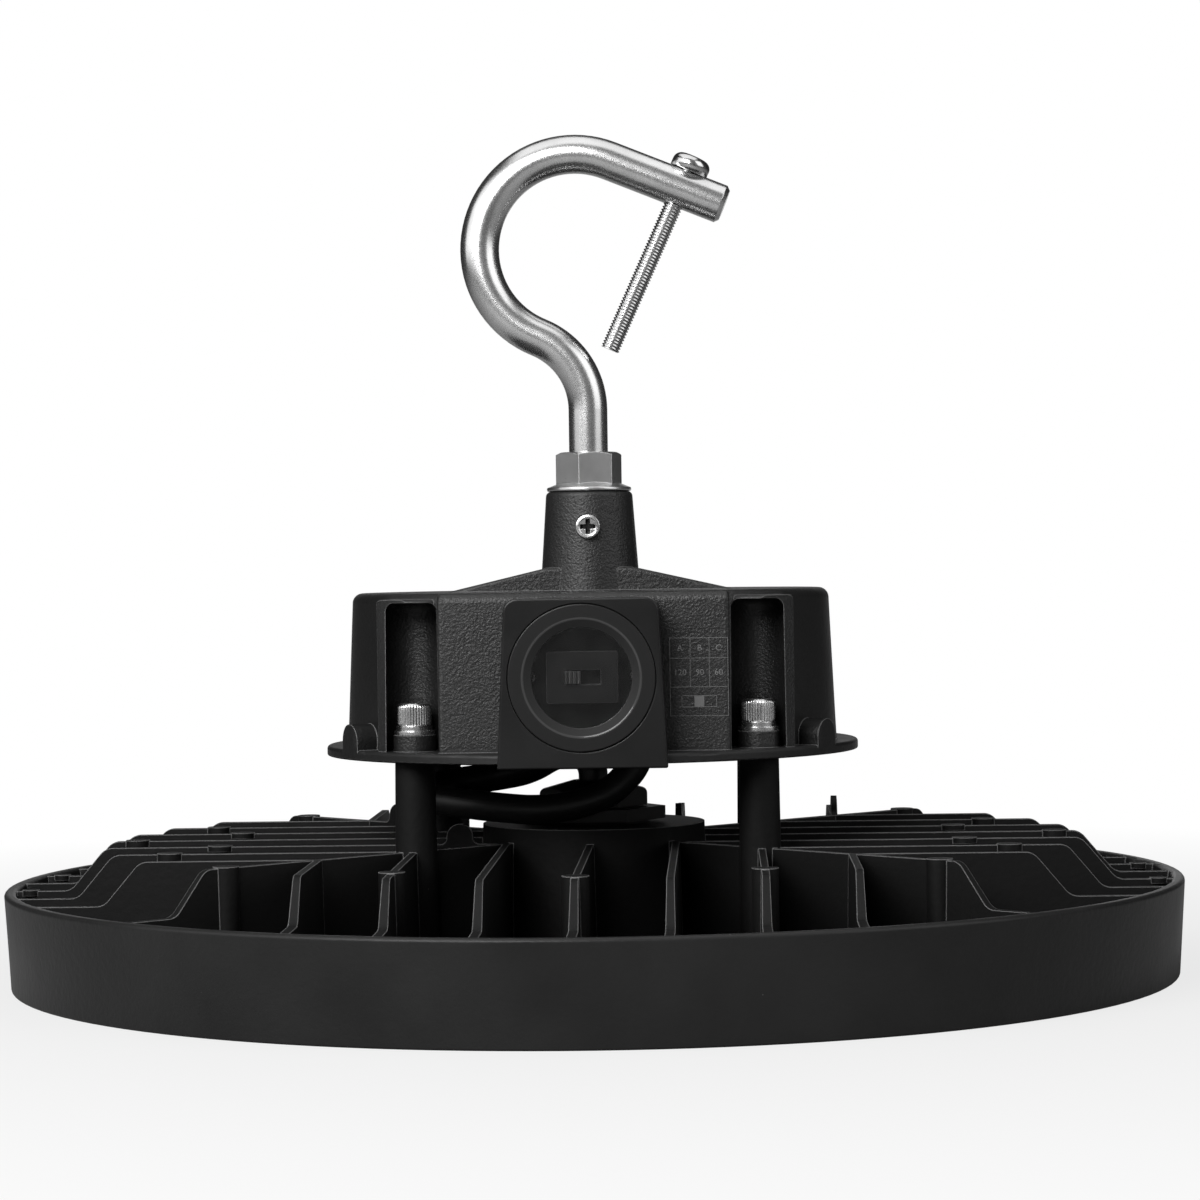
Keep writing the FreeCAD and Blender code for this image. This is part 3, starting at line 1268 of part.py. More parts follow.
def hook_nut():
    nut = hexagon(NUT_WIDTH, 0, NUT_HEIGHT, -90 - NUT_TURN)
    corner = NUT_WIDTH / math.sqrt(3)
    crown = turned([(0, 0), (corner, 0), (corner, NUT_HEIGHT - NUT_CROWN),
                    (NUT_WIDTH / 2 - NUT_ROUND, NUT_HEIGHT), (0, NUT_HEIGHT)])
    flange = turned([(0, 0), (NUT_FLANGE_RADIUS, 0, NUT_ROUND),
                     (NUT_FLANGE_RADIUS, NUT_FLANGE_EDGE, NUT_ROUND),
                     (NUT_WIDTH / 2, NUT_FLANGE_RISE), (0, NUT_FLANGE_RISE)])
    nut = joined([nut.common(crown), flange])
    nut = nut.cut(rod(ROD_THREAD_RADIUS + THREAD_CLEARANCE, -OVER, NUT_HEIGHT + OVER))
    nut.translate(Vector(0, 0, BOSS_TOP))
    return nut


def set_screw_face():
    share = SET_SCREW_BELOW_TOP / BOSS_HEIGHT
    return BOSS_RADIUS + share * (BOSS_FOOT_RADIUS - BOSS_RADIUS)


def set_screw_hole():
    hole = rod(SET_SCREW_RADIUS + SCREW_HOLE_GAP, -set_screw_face(), OVER)
    spot = rod(SET_SCREW_HEAD + FIT_GAP, -SET_SCREW_SPOT, 2 * OVER)
    return facing_front(hole.fuse(spot), set_screw_face(), BOSS_TOP - SET_SCREW_BELOW_TOP)


def hook_set_screw():
    head = pan_head(SET_SCREW_HEAD, SET_SCREW_HEAD_HEIGHT, SET_SCREW_HEAD_HEIGHT * CROWN_SHARE)
    head = head.cut(cross_recess(SET_SCREW_HEAD, SET_SCREW_RECESS, SET_SCREW_HEAD_HEIGHT))
    length = set_screw_face() - SET_SCREW_SPOT - ROD_THREAD_RADIUS - SET_SCREW_TIP_GAP
    screw = head.fuse(rod(SET_SCREW_RADIUS, -length, 0)).removeSplitter()
    return facing_front(screw, set_screw_face() - SET_SCREW_SPOT, BOSS_TOP - SET_SCREW_BELOW_TOP)


def all_nodes():
    nodes = {
        "heat_sink": heat_sink(),
        "led_board": led_board(),
        "led_chips": led_chips(),
        "lens_plate": lens_plate(),
        "lens_gasket": lens_gasket(),
        "lens_screws": lens_screws(),
        "led_wires": led_wires(),
        "output_lead": output_lead(),
        "lead_grommet": lead_grommet(),
        "driver_housing": driver_housing(),
        "base_plate": base_plate(),
        "base_gasket": base_gasket(),
        "base_screws": base_screws(),
        "driver_board": driver_board(),
        "board_screws": board_screws(),
        "transformer": transformer(),
        "capacitors": capacitors(),
        "choke": choke(),
        "switch_board": switch_board(),
        "switch_screws": switch_screws(),
        "switch_body": switch_body(),
        "selector_slider": selector_slider(),
        "switch_bezel": switch_bezel(),
        "window_cap": window_cap(),
        "window_seal": window_seal(),
        "cap_screws": cap_screws(),
        "spring_washers": spring_washers(),
        "flat_washers": flat_washers(),
        "hook": hook(),
        "hook_nut": hook_nut(),
        "hook_set_screw": hook_set_screw(),
        "gate_screw": gate_screw(),
    }
    for name, shape in lead_gland().items():
        nodes["lead_gland_" + name] = shape
    for name, shape in mains_gland().items():
        nodes["mains_gland_" + name] = shape
    return nodes


def main():
    os.makedirs("parts", exist_ok=True)
    for name, shape in all_nodes().items():
        shape.exportStep("parts/" + name + ".step")
        print(name, "solids", len(shape.Solids), "valid", shape.isValid(),
              "volume", round(shape.Volume, 1))


main()
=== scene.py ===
import json
import math

import bmesh
import bpy
from mathutils import Matrix, Vector

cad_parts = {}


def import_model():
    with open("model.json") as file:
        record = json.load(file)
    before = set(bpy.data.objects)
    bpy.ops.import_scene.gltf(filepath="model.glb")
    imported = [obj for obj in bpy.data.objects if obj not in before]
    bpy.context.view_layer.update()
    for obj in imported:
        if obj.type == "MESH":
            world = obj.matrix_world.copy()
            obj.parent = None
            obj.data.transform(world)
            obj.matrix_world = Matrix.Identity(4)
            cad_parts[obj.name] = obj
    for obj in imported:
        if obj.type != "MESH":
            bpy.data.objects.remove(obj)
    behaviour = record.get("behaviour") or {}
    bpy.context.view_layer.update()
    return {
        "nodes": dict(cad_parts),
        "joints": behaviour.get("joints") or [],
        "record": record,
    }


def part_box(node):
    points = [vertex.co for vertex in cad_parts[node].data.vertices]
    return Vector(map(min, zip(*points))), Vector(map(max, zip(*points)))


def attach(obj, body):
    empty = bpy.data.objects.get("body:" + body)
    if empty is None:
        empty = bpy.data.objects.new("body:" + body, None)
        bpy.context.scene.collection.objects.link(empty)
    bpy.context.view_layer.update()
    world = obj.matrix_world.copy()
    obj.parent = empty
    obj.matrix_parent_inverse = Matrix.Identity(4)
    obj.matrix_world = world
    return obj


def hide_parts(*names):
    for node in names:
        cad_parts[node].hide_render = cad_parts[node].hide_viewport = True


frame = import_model()
nodes = frame["nodes"]

# Looks of the high bay light, in metres, in the part's own frame: +Z up, origin on the
# floor under the centre, the round window towards -Y.

MM = 0.001
UP = Vector((0.0, 0.0, 1.0))
FRONT = Vector((0.0, -1.0, 0.0))
ORIGIN = (0.0, 0.0, 0.0)

# Axes that a distance is measured in: in plan, and over the front
IN_PLAN = (1.0, 1.0, 0.0)
OVER_FRONT = (1.0, 0.0, 1.0)

# Camera, placed as the photograph's was: its aim, its turn about the part and its roll
CAMERA_AIM = Vector((0.0024, 0.0, 0.0955))
CAMERA_DISTANCE = 0.898
CAMERA_TURN = math.radians(1.93)
CAMERA_PITCH = math.radians(0.58)
CAMERA_ROLL = math.radians(0.82)
CAMERA_LENS = 104.7
SENSOR_WIDTH = 36.0

# Lamps: name, degrees to the right of the front, degrees up, distance, width and height,
# and level, where 1 lights a white sheet that faces the lamp to white
LAMPS = [
    ("soft_left", -64.0, 26.0, 1.05, (0.88, 0.8), 0.28),
    ("soft_right", 64.0, 26.0, 1.05, (0.75, 0.8), 0.3),
    ("key_front", -25.0, 30.0, 0.75, (0.46, 0.36), 1.06),
    ("top", 0.0, 88.0, 1.1, (1.3, 1.1), 0.5),
]
LAMP_AIM = Vector((0.0, 0.0, 0.08))

# Room: its level on matt surfaces, its levels in reflections from the front and from the
# sides, and where along Y the front ends and the white backdrop starts
WHITE = (1.0, 1.0, 1.0, 1.0)
ROOM_LEVEL = 0.14
FRONT_LEVEL = 0.16
SIDE_LEVEL = 0.025
FRONT_EDGE = (-0.2, 0.1)
BACKDROP_EDGE = (0.93, 1.0)

# Floor: where along Y its white starts in reflections, how far that spreads aside for each
# metre back and how soft its edge is, and how far the part's shadow reaches
FLOOR_HALF = 4.0
FLOOR_COLOUR = (0.3, 0.3, 0.3, 1.0)
FLOOR_ROUGHNESS = 0.9
FLOOR_REFLECTION = (0.3, 1.2)
FLOOR_ASIDE = 0.4
FLOOR_SOFT_EDGE = 0.1
SHADOW_REACH = (0.16, 0.5)
SHADOW_SHARE = 0.22

# Finishes. A scale counts grains to a metre, a shade is a share of the base colour, and a
# spread is two shares of the roughness. Specks have their scale, their radius in their cell
# and the level that a cell's random shade must pass to hold one.

SPECK_CORE = 0.6

# Powder coated castings
CAST_BASE = 0.0085
SINK_BASE = 0.0135
CAST_ROUGHNESS = 0.39
SINK_ROUGHNESS = 0.44
CAST_SHEEN = 0.45
SINK_SHEEN = 0.18
# Colour of the painted highlight on the housing's and the sink's edges
HOUSING_EDGE_HIGHLIGHT = 0.13
SINK_EDGE_HIGHLIGHT = 0.17
CAST_CLOUD = 38.0
CAST_GRAIN = 1600.0
CAST_PEEL = 600.0
CAST_SHADES = (0.85, 1.2)
CAST_SPECKS = (260.0, 0.03, 0.7)
CAST_SPECK_SHADE = 9.0
CLOUD_ROUGHNESS = 0.08
SMOOTH_ROUGHNESS = 0.1
# Painted shade on the castings' dull parts, as a share of the base
PAINTED_DULL_SHADE = 0.2
DULL_ROUGHNESS = 0.16
PEEL_STRENGTH = 0.25
GRAIN_STRENGTHS = (0.8, 0.12)
GRAIN_DEPTH = 0.27 * MM

# Rounded edges, which get a painted highlight: how far the rounding turns the normal, as a cosine
EDGE_RADIUS = 0.4 * MM
EDGE_SAMPLES = 6
EDGE_HIGHLIGHT_LEVELS = (0.985, 0.9)

# Where the castings' smooth and dull parts begin; the dull parts also get painted shade
RIM_INSIDE = 145.5 * MM
RIM_OUTSIDE = 147.5 * MM
WALL_RADIUS = 59.6 * MM
WALL_FRONT = -36.0 * MM
WALL_FOOT = 60.5 * MM

# Zinc plated steel
STEEL_CLOUD = 130.0
STEEL_GRAIN = 1500.0
STEEL_SHADE = 0.86
STEEL_SPECKS = (420.0, 0.05, 0.66)
STEEL_SPECK_SHADE = 0.45
STEEL_SPREAD = (0.93, 1.1)
STEEL_EDGE = 0.3 * MM
STEEL_DEPTH = 0.03 * MM
# Painted shade in the set screw's cross recess: its share of the base, and the depths past the
# dish where it starts and where it is full
PAINTED_RECESS_SHADE = 0.1
RECESS_START = 0.05 * MM
RECESS_SHADE_FULL = 0.5 * MM

# Moulded plastic and rubber
MOULDED_CLOUD = 60.0
MOULDED_SHADE = 0.8
MOULDED_SPREAD = (0.9, 1.12)
MOULDED_STRENGTH = 0.4

# Window cap: radii of the clear window, of the bevel round it and of the cap's rim
WINDOW_RADIUS = 11.95 * MM
WINDOW_SOFT_EDGE = 0.25 * MM
WINDOW_EDGE = 13.95 * MM
WINDOW_RIM_RADIUS = 14.4 * MM
WINDOW_STEP = 0.1 * MM
# Colour of the painted highlight on the thin ring between the bevel and the cap's rim
WINDOW_EDGE_HIGHLIGHT = 0.045
WINDOW_HAZE = 220.0
WINDOW_SHADES = (1.4, 2.2)
WINDOW_ROUGHNESS = 0.1
WINDOW_RIM_ROUGHNESS = 0.34
WINDOW_BEVEL_ROUGHNESS = 0.6
WINDOW_SHEEN = 0.28
WINDOW_ALPHA = 0.42
WINDOW_GRAIN = 1300.0
WINDOW_STRENGTH = 0.3
WINDOW_DEPTH = 0.03 * MM
WINDOW_ROUNDING = 0.3 * MM

# Lens, and the choke's winding
LENS_ALPHA = 0.1
LENS_ROUGHNESS = 0.1
LENS_SHADE = 0.86
LENS_CLOUD = 45.0
LENS_WAVES = 160.0
LENS_STRENGTH = 0.15
LENS_DEPTH = 0.05 * MM
WINDING_SCALE = 260.0
WINDING_DISTORTION = 2.0
WINDING_ROUGHNESS = 0.3
WINDING_GAP = 0.03
WINDING_STRENGTH = 0.8
WINDING_DEPTH = 0.2 * MM

# Nodes that look different from the rest of their slot
OWN_FINISHES = {
    "heat_sink": "cast_rim",
    "led_chips": "chip_white",
    "switch_board": "board_dark",
    "selector_slider": "knob_grey",
    "hook_nut": "steel_matt",
}

# Meshes: angles in degrees above which an edge stays sharp, and the reach of a weld
SHARP_ANGLE = 35.0
TURNED_SHARP_ANGLE = 25.0
WELD = 0.001 * MM

# Gate screw: one pitch of its thread as rows, each with its place and its share of depth
GATE_PITCH = 0.8 * MM
GATE_RADIUS = 2.5 * MM
GATE_HEAD_HEIGHT = 3.9 * MM
GATE_TIP = 0.01 * MM
GATE_OVERLAP = 0.05 * MM
THREAD_DEPTH = 0.42 * MM
THREAD_STEPS = 28
THREAD_ROWS = ((0.0, 0.0), (0.12, 0.0), (0.5, 1.0), (0.62, 1.0))

# Socket screws in the posts
HEAD_RADIUS = 4.25 * MM
HEAD_BREAK = 0.1 * MM
HEAD_BEVEL = (0.35 * MM, 0.45 * MM)
SHANK_RADIUS = 2.45 * MM
SHANK_TIP_SHARE = 0.8
SHANK_TIP_HEIGHT = 0.5 * MM
KNURLS = 38
KNURL_DEPTH = 0.3 * MM
KNURL_STEPS = 6
KNURL_FOOT = 0.4 * MM
KNURL_TOP = 0.8 * MM
SOCKET_WIDTH = 4.0 * MM
SOCKET_DEPTH = 2.6 * MM
SOCKET_BEVEL = 0.15 * MM
SOCKET_POINT = (0.3 * MM, 0.6 * MM)

# Set screw in the boss
SET_SHANK_RADIUS = 1.95 * MM
SET_HEAD = 1.6 * MM
SET_EDGE = 0.5 * MM
SET_EDGE_ROUND = 0.3
SET_RIM = 0.3 * MM
SET_SLOPE = 0.2 * MM
SET_DISH = 0.25 * MM
CROSS_ARM = 1.95 * MM
CROSS_HALF = 0.58 * MM
CROSS_DEPTH = 2.3 * MM
CROSS_TAPER = 0.7
CROSS_STEPS = 96
CROSS_SOFT_EDGE = 0.1 * MM

# Legend on the flat beside the window: its corners, its columns and rows, and its marks
LEGEND_LEFT = 20.9 * MM
LEGEND_RIGHT = 34.9 * MM
LEGEND_BOTTOM = 67.8 * MM
LEGEND_TOP = 86.6 * MM
LEGEND_MARGIN = 10.0 * MM
LEGEND_COLUMNS = (0.0, 0.35, 0.68, 1.0)
LEGEND_ROWS = (0.0, 0.37, 0.74, 1.0)
LEGEND_WORDS = (("A", "B", "C"), ("120", "90", "60"))
LEGEND_LINE = 0.16 * MM
LEGEND_THICK = 0.03 * MM
LETTER_SIZE = 2.1 * MM
SLIDER_SIZE = (8.4 * MM, 2.7 * MM)
SLIDER_KNOB_SHARE = 1 / 7
FACES_FRONT = -0.99

# Yellow discs of the LEDs
LED_DISC_SHARE = 0.78
LED_DISC_PROUD = 0.08 * MM
LED_DISC_STEPS = 20


# Materials

def grey(level):
    return (level, level, level, 1.0)


def connect(tree, socket, value):
    """A value on a socket, or a link where the value is another node's output."""
    if isinstance(value, bpy.types.NodeSocket):
        tree.links.new(value, socket)
    else:
        socket.default_value = value


class Surface:
    """A material on the part's own coordinates, with short calls for its nodes."""

    def __init__(self, name, base, roughness, metallic=0.0):
        self.material = bpy.data.materials.new(name)
        self.material.use_nodes = True
        self.tree = self.material.node_tree
        self.shader = self.tree.nodes["Principled BSDF"]
        self.put("Base Color", base)
        self.put("Roughness", roughness)
        self.put("Metallic", metallic)
        self.place = self.add("ShaderNodeTexCoord").outputs["Object"]

    def add(self, kind, **settings):
        made = self.tree.nodes.new(kind)
        for key, value in settings.items():
            setattr(made, key, value)
        return made

    def put(self, socket, value, owner=None):
        """A value or another node's output on a socket of a node, or of the shader."""
        connect(self.tree, (owner or self.shader).inputs[socket], value)

    def axis(self, name):
        split = self.add("ShaderNodeSeparateXYZ")
        self.put(0, self.place, split)
        return split.outputs[name]

    def noise(self, scale, detail=2.0, roughness=0.5):
        made = self.add("ShaderNodeTexNoise")
        self.put("Vector", self.place, made)
        self.put("Scale", scale, made)
        self.put("Detail", detail, made)
        self.put("Roughness", roughness, made)
        return made.outputs["Fac"]

    def cloud(self, scale, detail=2.0, half=0.2):
        """Noise whose middle, half to each side, is stretched to run from 0 to 1."""
        return self.spread(self.noise(scale, detail), 0.5 - half, 0.5 + half)

    def specks(self, scale, radius, share):
        """Small dots in some of a set of cells, 1 inside a dot and 0 elsewhere."""
        made = self.add("ShaderNodeTexVoronoi")
        self.put("Vector", self.place, made)
        self.put("Scale", scale, made)
        dot = self.spread(made.outputs["Distance"], radius, radius * SPECK_CORE)
        chosen = self.math("GREATER_THAN", made.outputs["Color"], share)
        return self.math("MULTIPLY", dot, chosen)

    def spread(self, factor, low, high, to_low=0.0, to_high=1.0):
        """Factor between low and high, taken to another range."""
        made = self.add("ShaderNodeMapRange")
        self.put("Value", factor, made)
        self.put("From Min", low, made)
        self.put("From Max", high, made)
        self.put("To Min", to_low, made)
        self.put("To Max", to_high, made)
        return made.outputs["Result"]

    def math(self, operation, a, b=0.0):
        made = self.add("ShaderNodeMath", operation=operation)
        self.put(0, a, made)
        self.put(1, b, made)
        return made.outputs[0]

    def vector(self, operation, a, b=None, output="Vector"):
        made = self.add("ShaderNodeVectorMath", operation=operation)
        self.put(0, a, made)
        if b is not None:
            self.put(1, b, made)
        return made.outputs[output]

    def mix(self, factor, first, second):
        """Colour between two colours."""
        made = self.add("ShaderNodeMix", data_type="RGBA")
        self.put("Factor", factor, made)
        colours = [socket for socket in made.inputs if socket.type == "RGBA"]
        for socket, value in zip(colours, (first, second)):
            connect(self.tree, socket, value)
        return next(socket for socket in made.outputs if socket.type == "RGBA")

    def reach(self, centre, keep):
        """Distance from a centre along the axes that keep names."""
        offset = self.vector("SUBTRACT", self.place, centre)
        return self.vector("LENGTH", self.vector("MULTIPLY", offset, keep), output="Value")

    def round_edges(self, radius):
        made = self.add("ShaderNodeBevel", samples=EDGE_SAMPLES)
        self.put("Radius", radius, made)
        return made.outputs["Normal"]

    def edge_highlight_share(self, rounded):
        """How near to an edge a point is, from the turn that rounding gives its normal; it places
        painted edge highlights.
        """
        true_normal = self.add("ShaderNodeNewGeometry").outputs["Normal"]
        return self.spread(self.vector("DOT_PRODUCT", rounded, true_normal, "Value"), *EDGE_HIGHLIGHT_LEVELS)

    def bump(self, height, strength, distance, normal=None):
        made = self.add("ShaderNodeBump")
        self.put("Height", height, made)
        self.put("Strength", strength, made)
        self.put("Distance", distance, made)
        if normal is not None:
            self.put("Normal", normal, made)
        return made.outputs["Normal"]


def sink_parts(surface):
    """Smooth outside of the heat sink's rim, and the duller rest of it, which gets painted shade.
    """
    outside = surface.spread(surface.reach(ORIGIN, IN_PLAN), RIM_INSIDE, RIM_OUTSIDE)
    return outside, surface.math("SUBTRACT", 1.0, outside)


def housing_parts(surface):
    """Smooth round wall of the driver housing, and its duller part, that wall and the foot, which
    gets painted shade.
    """
    outside = surface.spread(surface.reach(ORIGIN, IN_PLAN), WALL_RADIUS, WALL_RADIUS + MM)
    behind = surface.spread(surface.axis("Y"), WALL_FRONT - MM, WALL_FRONT + MM)
    foot = surface.spread(surface.axis("Z"), WALL_FOOT, WALL_FOOT - MM)
    wall = surface.math("MULTIPLY", outside, behind)
    return wall, surface.math("MAXIMUM", wall, foot)


def cast_finish(name, base, roughness, sheen, edge_highlight_level, parts):
    """Black powder coat over a casting: orange peel, painted highlights on its edges and a few
    specks.
    Its smooth part is glossier, its dull part rougher and darker with painted shade, and both
    have less grain."""
    surface = Surface(name, grey(base), roughness)
    cloud = surface.cloud(CAST_CLOUD, 3.0)
    grain = surface.noise(CAST_GRAIN, 2.0, 0.6)
    peel = surface.noise(CAST_PEEL, 1.0)
    edges = surface.round_edges(EDGE_RADIUS)
    smooth, painted_shade_and_dull = parts(surface)
    shade = surface.mix(cloud, grey(base * CAST_SHADES[0]), grey(base * CAST_SHADES[1]))
    # Painted shade: the sink inside its rim and the housing's round wall and foot are darker
    shade = surface.mix(painted_shade_and_dull, shade, grey(base * PAINTED_DULL_SHADE))
    # Painted highlight on the rounded edges
    shade = surface.mix(surface.edge_highlight_share(edges), shade, grey(edge_highlight_level))
    specks = surface.specks(*CAST_SPECKS)
    surface.put("Base Color", surface.mix(specks, shade, grey(base * CAST_SPECK_SHADE)))
    surface.put("Specular IOR Level", sheen)
    coarse = surface.spread(cloud, 0.0, 1.0, roughness, roughness + CLOUD_ROUGHNESS)
    rougher = surface.math("MULTIPLY", painted_shade_and_dull, DULL_ROUGHNESS)
    glossier = surface.math("MULTIPLY", smooth, SMOOTH_ROUGHNESS)
    rough = surface.math("SUBTRACT", surface.math("ADD", coarse, rougher), glossier)
    surface.put("Roughness", rough)
    strength = surface.spread(surface.math("MAXIMUM", smooth, painted_shade_and_dull), 0.0, 1.0, *GRAIN_STRENGTHS)
    waves = surface.bump(peel, PEEL_STRENGTH, GRAIN_DEPTH, edges)
    surface.put("Normal", surface.bump(grain, strength, GRAIN_DEPTH, waves))
    return surface.material


def set_screw_recess_shade(surface):
    """1 inside the cross recess of the hook's set screw, where the steel gets painted shade."""
    low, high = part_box("hook_set_screw")
    dish = low.y + SET_DISH
    deep = surface.spread(surface.axis("Y"), dish + RECESS_START, dish + RECESS_SHADE_FULL)
    away = surface.reach(tuple((low + high) / 2), OVER_FRONT)
    inside = surface.spread(away, CROSS_ARM + CROSS_SOFT_EDGE, CROSS_ARM)
    return surface.math("MULTIPLY", deep, inside)


def steel_finish(name, base, roughness, grit=0.1, recess=None):
    """Bright zinc plate with faint mottling, fine grain and a few dull spots, and painted shade in
    a recess."""
    surface = Surface(name, grey(base), roughness, metallic=1.0)
    cloud = surface.cloud(STEEL_CLOUD, 3.0, 0.15)
    grain = surface.noise(STEEL_GRAIN, 2.0, 0.6)
    shade = surface.mix(cloud, grey(base * STEEL_SHADE), grey(base))
    specks = surface.specks(*STEEL_SPECKS)
    shade = surface.mix(specks, shade, grey(base * STEEL_SPECK_SHADE))
    if recess is not None:
        # Painted shade in the recess
        shade = surface.mix(recess(surface), shade, grey(base * PAINTED_RECESS_SHADE))
    surface.put("Base Color", shade)
    rough = [roughness * share for share in STEEL_SPREAD]
    surface.put("Roughness", surface.spread(grain, 0.3, 0.7, *rough))
    edges = surface.round_edges(STEEL_EDGE)
    surface.put("Normal", surface.bump(grain, grit, STEEL_DEPTH, edges))
    return surface.material


def moulded_finish(name, base, roughness, grain=900.0, depth=0.02 * MM, edge=0.25 * MM,
                   lit_edge=None, sheen=0.5):
    """Moulded plastic or rubber with a fine grain and soft edges, and a painted highlight on those
    edges where lit_edge is given.
    """
    surface = Surface(name, base, roughness)
    cloud = surface.cloud(MOULDED_CLOUD)
    darker = tuple(part * MOULDED_SHADE for part in base[:3]) + (1.0,)
    edges = surface.round_edges(edge)
    shade = surface.mix(cloud, darker, base)
    # Painted highlight on the rounded edges
    if lit_edge is not None:
        shade = surface.mix(surface.edge_highlight_share(edges), shade, grey(lit_edge))
    surface.put("Base Color", shade)
    surface.put("Specular IOR Level", sheen)
    rough = [roughness * share for share in MOULDED_SPREAD]
    surface.put("Roughness", surface.spread(cloud, 0.0, 1.0, *rough))
    surface.put("Normal", surface.bump(surface.noise(grain), MOULDED_STRENGTH, depth, edges))
    return surface.material


def window_finish(name, base):
    """Smoked cap: clear in its window, and a satin black ring round that, with a painted highlight
    on the thin ring where the bevel meets the rim.
    """
    surface = Surface(name, base, WINDOW_ROUGHNESS)
    low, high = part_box("window_cap")
    away = surface.reach(tuple((low + high) / 2), OVER_FRONT)
    solid = surface.spread(away, WINDOW_RADIUS, WINDOW_RADIUS + WINDOW_SOFT_EDGE)
    within = surface.spread(away, WINDOW_EDGE, WINDOW_EDGE - WINDOW_STEP)
    bevel = surface.math("MULTIPLY", solid, within)
    rim = surface.spread(away, WINDOW_RIM_RADIUS, WINDOW_RIM_RADIUS + WINDOW_STEP)
    haze = surface.cloud(WINDOW_HAZE)
    clear = surface.mix(haze, *(grey(base[0] * shade) for shade in WINDOW_SHADES))
    shade = surface.mix(solid, clear, grey(base[0]))
    # Thin ring between the bevel and the rim, which gets a painted highlight
    edge = surface.math("SUBTRACT", surface.math("SUBTRACT", solid, bevel), rim)
    surface.put("Base Color", surface.mix(edge, shade, grey(WINDOW_EDGE_HIGHLIGHT)))
    rough = surface.spread(rim, 0.0, 1.0, WINDOW_ROUGHNESS, WINDOW_RIM_ROUGHNESS)
    rougher = surface.math("MULTIPLY", bevel, WINDOW_BEVEL_ROUGHNESS)
    surface.put("Roughness", surface.math("ADD", rough, rougher))
    surface.put("Specular IOR Level", WINDOW_SHEEN)
    surface.put("Alpha", surface.spread(solid, 0.0, 1.0, WINDOW_ALPHA, 1.0))
    grain = surface.math("MULTIPLY", surface.noise(WINDOW_GRAIN), rim)
    edges = surface.round_edges(WINDOW_ROUNDING)
    surface.put("Normal", surface.bump(grain, WINDOW_STRENGTH, WINDOW_DEPTH, edges))
    return surface.material


def lens_finish(name, base):
    """Clear moulded lens with faint clouds and flow marks."""
    surface = Surface(name, base, LENS_ROUGHNESS)
    surface.put("Alpha", LENS_ALPHA)
    surface.put("Base Color", surface.mix(surface.cloud(LENS_CLOUD), grey(LENS_SHADE), base))
    waves = surface.noise(LENS_WAVES, 1.0)
    surface.put("Normal", surface.bump(waves, LENS_STRENGTH, LENS_DEPTH))
    return surface.material


def winding_finish(name, base):
    """Enamelled copper turns round the choke's ring."""
    surface = Surface(name, base, WINDING_ROUGHNESS, metallic=1.0)
    waves = surface.add("ShaderNodeTexWave", wave_type="RINGS", rings_direction="Z")
    surface.put("Vector", surface.place, waves)
    surface.put("Scale", WINDING_SCALE, waves)
    surface.put("Distortion", WINDING_DISTORTION, waves)
    turns = waves.outputs["Fac"]
    surface.put("Base Color", surface.mix(turns, grey(WINDING_GAP), base))
    surface.put("Normal", surface.bump(turns, WINDING_STRENGTH, WINDING_DEPTH))
    return surface.material


def finishes():
    """One material for each of the record's slots, and the few that only this script needs."""
    return {
        "cast_black": cast_finish("cast_black", CAST_BASE, CAST_ROUGHNESS, CAST_SHEEN,
                                  HOUSING_EDGE_HIGHLIGHT, housing_parts),
        "cast_rim": cast_finish("cast_black_rim", SINK_BASE, SINK_ROUGHNESS, SINK_SHEEN,
                                SINK_EDGE_HIGHLIGHT, sink_parts),
        "bezel_black": moulded_finish("bezel_black", grey(0.009), 0.31, 1100.0, 0.03 * MM,
                                      0.4 * MM, sheen=0.3),
        "plastic_black": moulded_finish("plastic_black", grey(0.07), 0.42, lit_edge=0.45),
        "knob_grey": moulded_finish("knob_grey", grey(0.2), 0.4, lit_edge=0.7),
        "nylon_black": moulded_finish("nylon_black", grey(0.013), 0.48),
        "rubber_black": moulded_finish("rubber_black", grey(0.012), 0.7),
        "lead_black": moulded_finish("lead_black", grey(0.012), 0.42, 300.0, 0.03 * MM),
        "silicone_grey": moulded_finish("silicone_grey", grey(0.42), 0.6),
        "smoked_clear": window_finish("smoked_clear", grey(0.01)),
        "lens_clear": lens_finish("lens_clear", (0.93, 0.95, 0.96, 1.0)),
        "board_white": moulded_finish("board_white", grey(0.8), 0.45),
        "board_green": moulded_finish("board_green", (0.03, 0.16, 0.06, 1.0), 0.4),
        "board_dark": moulded_finish("board_dark", (0.012, 0.02, 0.013, 1.0), 0.5),
        "chip_white": moulded_finish("chip_white", grey(0.7), 0.35),
        "phosphor": moulded_finish("phosphor", (0.9, 0.68, 0.12, 1.0), 0.5),
        "legend": moulded_finish("legend_grey", grey(0.15), 0.6),
        "screw_black": moulded_finish("screw_black", grey(0.02), 0.35),
        "steel_bright": steel_finish("steel_bright", 0.66, 0.26, 0.05),
        "steel_matt": steel_finish("steel_matt", 0.74, 0.3, 0.3),
        # Darker copy of the steel on the threaded screw: painted shade for its thread's roots
        "steel_threaded": steel_finish("steel_threaded", 0.58, 0.2),
        "steel_recessed": steel_finish("steel_recessed", 0.74, 0.24, recess=set_screw_recess_shade),
        "ferrite": moulded_finish("ferrite", grey(0.05), 0.55),
        "sleeve_black": moulded_finish("sleeve_black", (0.02, 0.02, 0.03, 1.0), 0.35),
        "copper": winding_finish("copper", (0.7, 0.33, 0.16, 1.0)),
    }


def dress(finish):
    """Every node of the frame gets the finish that its slot names, or its own."""
    for part in frame["record"]["subparts"]:
        made = finish[OWN_FINISHES.get(part["node"], part["material_slot"])]
        for slot in nodes[part["node"]].material_slots:
            slot.material = made


# Mesh helpers

